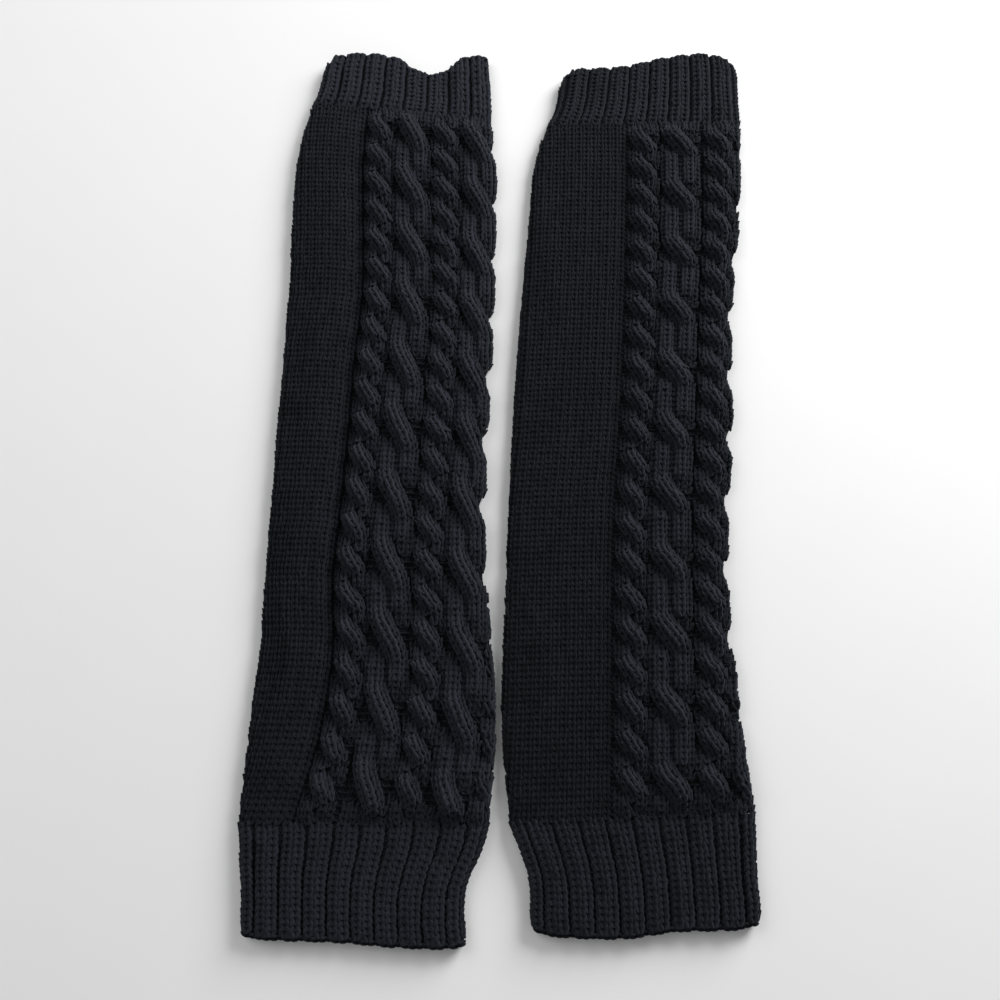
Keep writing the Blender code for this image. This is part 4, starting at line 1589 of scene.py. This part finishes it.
@dataclass
class RibbedCuff:
    """Ribbed cuff of one warmer, from its seam with the body to its hem.

    The first valley is where the ribs start, in ribs. The wales are the places of
    the knit ones on a rib, and the widths those of a stitch as shares of a rib. The
    margin keeps ribs off the folds, whose stitches lie at the fold heights. The
    tone lightens or darkens the stitches: a painted light and shade for how
    brightly this piece is lit. The purl bumps are painted darker than the knit
    stitches, a painted shade in the valleys between the ribs.
    """

    side: str
    place: str
    edges: tuple[Edge, ...]
    seam: Seam
    hem: tuple[Hem, ...]
    ribs: float
    first_valley: float
    tone: float
    creases: tuple[Crease, ...]
    cloth_finish: ClothFinish = CUFF_CLOTH
    yarn_finish: YarnFinish = CUFF_YARN
    rib_rise: float = 0.7
    rib_depth: float = 1.6
    end_bump: float = 0.5
    hem_rounding: float = 0.7
    hem_start: float = 0.93
    hem_steps: tuple[float, ...] = (0.95, 0.97, 0.985, 1.0)
    rib_start: float = 0.15
    rib_at_seam: float = 0.3
    rib_columns: int = 8
    under_columns: int = 20
    inner_sections: int = 6
    margin: float = 0.012
    last_rows: float = 0.75
    wales: tuple[float, ...] = (0.29, 0.71)
    knit_width: float = 0.44
    purl_width: float = 0.3
    purl_radius: float = 0.55
    rise: float = 0.05
    fold_out: float = 0.2
    fold_heights: tuple[float, ...] = (2.1, 4.5)
    fold_width: float = 0.75
    chain_step: float = 1.05
    chain_setback: float = 0.5
    chain_top: float = 0.3
    chain_bottom: float = 1.9
    chain_lean: float = 1.1
    chain_sink: float = 0.45
    chain_width: float = 0.78
    chain_height: float = 0.8
    # Painted light and shade: the knit stitches on the ribs are painted lighter than the purl bumps in the
    # valleys between them.
    knit_shade: float = 0.4
    purl_painted_shade: float = 0.1
    shades: float = 0.3

    @property
    def outward(self) -> int:
        """Direction along Y from the seam to the hem."""
        return 1 if self.hem[0].along > self.seam.left else -1

    @property
    def rows(self) -> int:
        """Knitted rows from seam to hem."""
        ends = along_table(self.hem, "along", np.linspace(0.0, 1.0, 21))
        return round(float(np.mean(np.abs(ends - self.seam.left))) / CLOTH.row)

    @property
    def flat_size(self) -> tuple[float, float]:
        """Size of the cloth, cut open along one fold.

        Returns:
            The width all round the tube, and its mean length.
        """
        share = np.linspace(0.0, 1.0, 11)
        left, right = self.sides(share)
        length = np.abs(self.along(share, np.ones(11)) - self.along(share, np.zeros(11))).mean()
        return 2 * float(np.mean(right - left)), float(length)

    def sides(self, share: Array) -> tuple[Array, Array]:
        """Left and right edge at shares of the way to the hem."""
        return along_table(self.edges, "left", share), along_table(self.edges, "right", share)

    def rib(self, across: Array) -> Array:
        """Find the height of the ribs.

        Args:
            across: Places across, from 0 to 1.

        Returns:
            1 on a ridge and 0 in a valley.
        """
        phase = across * self.ribs - self.first_valley
        local = np.abs(phase - np.floor(phase) - 0.5) * 2.0
        return 1.0 - local**3

    def along(self, across: Array, share: Array) -> Array:
        """Find places along the warmer.

        Args:
            across: Places across, from 0 to 1.
            share: Shares of the way to the hem.

        Returns:
            The places, between the slanting seam and the scalloped hem.
        """
        start = mix(self.seam.left, self.seam.right, across) + self.outward * CLOTH.seam_gap / 2
        end = along_table(self.hem, "along", across)
        end = end + self.outward * self.end_bump * (self.rib(across) - 1.0)
        return mix(start, end, share)

    def top_height(self, across: Array, share: Array, sink: float) -> Array:
        """Find the height of the outer face, rounded at folds and hem.

        Args:
            across: Places across, from 0 to 1.
            share: Shares of the way to the hem.
            sink: How far to stay under the crests.

        Returns:
            The heights.
        """
        left, right = self.sides(share)
        x = mix(left, right, across)
        rise = self.rib_rise - self.rib_depth * (1.0 - self.rib(across))
        height = CLOTH.height + rise * mix(self.rib_at_seam, 1.0, eased(share / self.rib_start)) - sink
        height = height - self.hem_rounding * eased((share - self.hem_start) / (1.0 - self.hem_start))
        height = height + crease_height(self.creases, x, self.along(across, share))
        inset = np.minimum(across, 1.0 - across) * (right - left) - sink
        return mix(CLOTH.fold_height, height, rounded(inset, CLOTH.plain_fold))

    def sections(self, share: Array, sink: float) -> Array:
        """Make loops round the outer face, from the left foot over the top.

        Args:
            share: Shares of the way to the hem, one for each loop.
            sink: How far to stay under the crests.

        Returns:
            Points, a row for each loop.
        """
        share = np.asarray(share, float)[:, None]
        left, right = self.sides(share)
        width = right - left
        bend = (sink + fold_inset(PLAIN_TURNS, CLOTH.plain_fold)) / width
        start = (sink + CLOTH.plain_fold) / width
        columns = np.linspace(0.0, 1.0, round(self.ribs * self.rib_columns))[None]
        under = np.linspace(0.0, 1.0, self.under_columns + 2)[None, 1:-1]
        tops = np.concatenate([bend, mix(start, 1.0 - start, columns), (1.0 - bend)[:, ::-1]], axis=1)
        heights = self.top_height(tops, share + 0.0 * tops, sink)
        foot, rise = fold_foot()
        foot, rise = (sink + foot) / width, rise + 0.0 * share
        tuck = (sink + CLOTH.tuck) / width
        bottom = mix(1.0 - tuck, tuck, under)
        across = np.concatenate([foot, tops, (1.0 - foot)[:, ::-1], bottom], axis=1)
        z = np.concatenate([rise, heights, rise[:, ::-1], 0.0 * bottom], axis=1)
        return np.stack([mix(left, right, across), self.along(across, share + 0.0 * across), z], axis=2)

    def inside(self, outer: Array, share: Array) -> Array:
        """Make loops round the space inside.

        Args:
            outer: Loops round the outer face.
            share: Their shares of the way to the hem.

        Returns:
            Points, as many in a loop as the outer face has.
        """
        share = np.asarray(share, float)[:, None]
        left, right = self.sides(share)
        x, opened = slit_places(outer, left, right)
        z = slit_heights(outer, opened, CLOTH.wall + CLOTH.lining_gap)
        across = (x - left) / (right - left)
        return np.stack([x, self.along(across, share + 0.0 * across), z], axis=2)

    def cloth(self) -> tuple[bpy.types.Object, BVHTree]:
        """Make the tube of cloth under the stitches.

        Returns:
            The tube and its outer faces.
        """
        share = np.concatenate([np.linspace(0.0, self.hem_start, self.rows), self.hem_steps])
        few = np.linspace(0.0, 1.0, self.inner_sections)
        outer = self.sections(share, CLOTH.sink)
        inner = self.inside(self.sections(few, CLOTH.sink), few)
        rows = share * self.rows
        if self.outward < 0:
            outer, inner, rows = outer[::-1], inner[::-1], rows[::-1]
        name = f"{self.side}_{self.place}_cuff_cloth"
        return tube(name, outer, inner, rows, self.cloth_finish.material())

    def sow_line(self, seeds: Seeds, ground: BVHTree, points: Array, width: float, shade: Array) -> None:
        """Place a line of stitches from seam to hem.

        Args:
            seeds: Where they are added.
            ground: The cloth's faces.
            points: Their places.
            width: Their stretch across.
            shade: How light each one is.
        """
        run = np.gradient(points, axis=0) * self.outward
        step = np.linalg.norm(run, axis=1) / CLOTH.row
        stretch = np.stack([np.full(len(points), width), step], axis=1)
        seeds.sow(ground, points, run, stretch, self.rise, shade)

    def rib_seeds(self, ground: BVHTree, dice: Dice, kind: Stitch) -> Seeds:
        """Place knit wales on the ribs and folds, or purl bumps in the valleys.

        Args:
            ground: The cloth's faces.
            dice: Source of the shades.
            kind: Which of the two.

        Returns:
            The stitches' places, from seam to hem.
        """
        knit = kind is Stitch.KNIT
        rows = self.rows
        share = (np.arange(rows) + 0.5) / (rows + self.last_rows)
        left, right = self.sides(share)
        pitch = float(np.mean(right - left)) / self.ribs
        width = pitch * (self.knit_width if knit else self.purl_width) / CLOTH.wale
        # Painted light and shade: ribs get the knit shade and the piece's tone, valleys the darker purl
        # shade.
        tone = self.knit_shade + self.tone if knit else self.purl_painted_shade
        seeds = Seeds()
        for rib in range(-1, math.ceil(self.ribs) + 1):
            for phase in self.wales if knit else (0.0,):
                across = (rib + phase + self.first_valley) / self.ribs
                if not self.margin < across < 1.0 - self.margin:
                    continue
                line = np.full(rows, across)
                height = self.top_height(line, share, CLOTH.sink)
                points = np.stack([mix(left, right, line), self.along(line, share), height], axis=1)
                self.sow_line(seeds, ground, points, width, self.shades * dice.random(rows) + tone)
        for across, edge, out in ((0.0, left, -1), (1.0, right, 1)) if knit else ():
            y = self.along(np.full(rows, across), share)
            for z in self.fold_heights:
                points = np.stack([edge + out * self.fold_out, y, np.full(rows, z)], axis=1)
                shade = tone + self.shades * dice.random(rows)
                self.sow_line(seeds, ground, points, self.fold_width, shade)
        return seeds

    def hem_seeds(self, dice: Dice) -> Seeds:
        """Place the chain of cast-off stitches along the rims of both layers.

        Args:
            dice: Source of the shades.

        Returns:
            The chain's places, facing out of the cuff's end.
        """
        seeds = Seeds()
        left, right = (float(side) for side in self.sides(np.array(1.0)))
        count = round((right - left) / (CLOTH.row * self.chain_step))
        across = mix(self.margin, 1.0 - self.margin, (np.arange(count) + 0.5) / count)
        share = np.ones(count)
        top = self.top_height(across, share, CLOTH.sink) + self.chain_top
        for layer, z in enumerate((np.full(count, self.chain_bottom), top)):
            y = self.along(across, share) - self.chain_setback * layer * self.outward
            points = np.stack([mix(left, right, across), y, z], axis=1)
            run = np.gradient(points, axis=0)
            outs = np.stack([-run[:, 1] * self.outward, run[:, 0] * self.outward, 0.0 * y], axis=1)
            outs /= np.linalg.norm(outs, axis=1)[:, None]
            outs[:, 2] = self.chain_lean * layer
            outs /= np.linalg.norm(outs, axis=1)[:, None]
            seeds.place.append(placed(points) - outs * self.chain_sink * MM)
            seeds.out.append(outs)
            seeds.along.append(run)
            step = np.linalg.norm(run, axis=1) / CLOTH.row
            sizes = [np.full(count, self.chain_width), step, np.full(count, self.chain_height)]
            seeds.stretch.append(np.stack(sizes, axis=1))
            seeds.shade.append(self.knit_shade + self.tone + self.shades * dice.random(count))
        return seeds

    def build(self) -> bpy.types.Object:
        """Make the cuff's cloth, stitches and cast-off edge and tie them to the frame.

        Returns:
            The cuff's cloth.
        """
        dice = np.random.default_rng(SEED)
        cloth, ground = self.cloth()
        yarn = self.yarn_finish.material()
        name = f"{self.side}_{self.place}"
        knit, purl = StitchMaker(Stitch.KNIT), StitchMaker(Stitch.PURL, radius=self.purl_radius)
        stitches = [
            knit.knit(f"{name}_rib_stitches", self.rib_seeds(ground, dice, Stitch.KNIT), yarn),
            purl.knit(f"{name}_valley_stitches", self.rib_seeds(ground, dice, Stitch.PURL), yarn),
            knit.knit(f"{name}_cast_off", self.hem_seeds(dice), yarn),
        ]
        finish_piece(cloth, stitches, f"{name}_cuff", self.flat_size)
        return cloth


def finish_piece(
    cloth: bpy.types.Object,
    stitches: list[bpy.types.Object],
    node: str,
    flat: tuple[float, float],
) -> None:
    """Tie a knitted piece to the frame and hide its CAD node.

    Args:
        cloth: The tube of cloth, which stands for the CAD node.
        stitches: The stitches on it.
        node: The CAD node.
        flat: Width and length of the cloth cut open, in millimetres; not used.
    """
    for piece in (cloth, *stitches):
        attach(piece, "root")
    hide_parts(node)
    flat[0] * MM
    flat[1] * MM


@dataclass(frozen=True)
class Studio:
    """Pale floor, soft light and the camera at the photograph's angle.

    Lengths are metres and powers watts. The aim is the point on the floor that the
    camera faces, and the tilt is how far it leans from straight down.
    """

    aim: tuple[float, float] = (-0.0071965, -0.025829)
    distance: float = 0.437
    tilt_degrees: float = 17.0
    lens: float = 36.1
    floor_size: float = 4.0
    floor_tone: float = 0.8
    floor_grain: float = 0.01
    grain_scale: float = 25.0
    floor_roughness: float = 0.8
    key_place: tuple[float, float, float] = (0.68, 0.66, 0.5)
    key_size: float = 0.6
    key_power: float = 15.5
    fill_place: tuple[float, float, float] = (-0.8, 0.45, 0.9)
    fill_size: float = 0.9
    fill_power: float = 5.0
    sky: float = 0.33

    def floor(self) -> None:
        """Lay a plain floor with a faint grain."""
        half = self.floor_size / 2
        mesh = bpy.data.meshes.new("floor")
        corners = [(-half, -half, 0.0), (half, -half, 0.0), (half, half, 0.0), (-half, half, 0.0)]
        mesh.from_pydata(corners, [], [(0, 1, 2, 3)])
        material, graph, shader = new_material("pale_floor")
        low, high = self.floor_tone - self.floor_grain, self.floor_tone + self.floor_grain
        tint = graph.blend(graph.noise(self.grain_scale), (low, low, low), (high, high, high))
        graph.feed(shader.inputs["Base Color"], tint)
        shader.inputs["Roughness"].default_value = self.floor_roughness
        mesh.materials.append(material)
        floor = bpy.data.objects.new("floor", mesh)
        bpy.context.scene.collection.objects.link(floor)
        floor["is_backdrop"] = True

    def light(self, name: str, place: tuple[float, float, float], size: float, power: float) -> None:
        """Add a soft square light that faces the pair.

        Args:
            name: The light's name.
            place: Where it hangs.
            size: Length of its side.
            power: Its strength.
        """
        lamp = bpy.data.lights.new(name, "AREA")
        lamp.size = size
        lamp.energy = power
        holder = bpy.data.objects.new(name, lamp)
        holder.location = place
        holder.rotation_mode = "QUATERNION"
        holder.rotation_quaternion = (-Vector(place)).to_track_quat("-Z", "Y")
        bpy.context.scene.collection.objects.link(holder)

    def camera(self) -> None:
        """Set up the camera, tilted from straight down."""
        lens = bpy.data.cameras.new("camera")
        lens.lens = self.lens
        lens.sensor_width = 36.0
        lens.clip_start, lens.clip_end = 0.01, 20.0
        camera = bpy.data.objects.new("camera", lens)
        tilt = math.radians(self.tilt_degrees)
        back, up = self.distance * math.sin(tilt), self.distance * math.cos(tilt)
        camera.location = (self.aim[0], self.aim[1] - back, up)
        camera.rotation_euler = (tilt, 0.0, 0.0)
        bpy.context.scene.collection.objects.link(camera)
        bpy.context.scene.camera = camera

    def build(self) -> None:
        """Make the floor, lights, sky and camera."""
        self.floor()
        self.light("key_light", self.key_place, self.key_size, self.key_power)
        self.light("fill_light", self.fill_place, self.fill_size, self.fill_power)
        world = bpy.data.worlds.new("studio")
        world.use_nodes = True
        background = world.node_tree.nodes["Background"]
        background.inputs["Color"].default_value = (1.0, 1.0, 1.0, 1.0)
        background.inputs["Strength"].default_value = self.sky
        bpy.context.scene.world = world
        bpy.context.scene.view_settings.view_transform = "Standard"
        self.camera()


def warmers() -> list[KnittedBody | RibbedCuff]:
    """List all six pieces of the pair.

    Returns:
        A body and two cuffs for each warmer, with their ribs, first valleys and
        tones; a tone is painted light and shade for how brightly its piece is lit.
    """
    # The last number of each is its tone: painted light and shade, lighter for a piece that the light falls
    # on more brightly.
    left_body = (LEFT_BODY, LEFT_LOWER_SEAM, LEFT_UPPER_SEAM, LEFT_WIDE_SHARE, 0.09)
    right_body = (RIGHT_BODY, RIGHT_LOWER_SEAM, RIGHT_UPPER_SEAM, RIGHT_WIDE_SHARE, -0.05)
    left_upper = (LEFT_UPPER_EDGES, LEFT_UPPER_SEAM, LEFT_UPPER_HEM, 7.9, 1.0, 0.24)
    left_lower = (LEFT_LOWER_EDGES, LEFT_LOWER_SEAM, LEFT_LOWER_HEM, 9.4, 0.62, 0.05)
    right_upper = (RIGHT_UPPER_EDGES, RIGHT_UPPER_SEAM, RIGHT_UPPER_HEM, 8.7, 0.4, -0.24)
    right_lower = (RIGHT_LOWER_EDGES, RIGHT_LOWER_SEAM, RIGHT_LOWER_HEM, 9.2, 0.56, -0.16)
    return [
        KnittedBody("left", *left_body, LEFT_CREASES),
        KnittedBody("right", *right_body, RIGHT_CREASES),
        RibbedCuff("left", "upper", *left_upper, LEFT_UPPER_CREASES),
        RibbedCuff("left", "lower", *left_lower, LEFT_LOWER_CREASES),
        RibbedCuff("right", "upper", *right_upper, RIGHT_UPPER_CREASES),
        RibbedCuff("right", "lower", *right_lower, RIGHT_LOWER_CREASES),
    ]


def main() -> None:
    """Build the pair and its studio, and report each piece."""
    logging.basicConfig(level=logging.INFO, format="%(message)s")
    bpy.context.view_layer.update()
    for part in warmers():
        part.build()
    Studio().build()
    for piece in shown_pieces():
        if not piece.hide_render:
            piece.data.calc_loop_triangles()
            LOG.info("%s: %d triangles", piece.name, len(piece.data.loop_triangles))


if __name__ == "__main__":
    main()
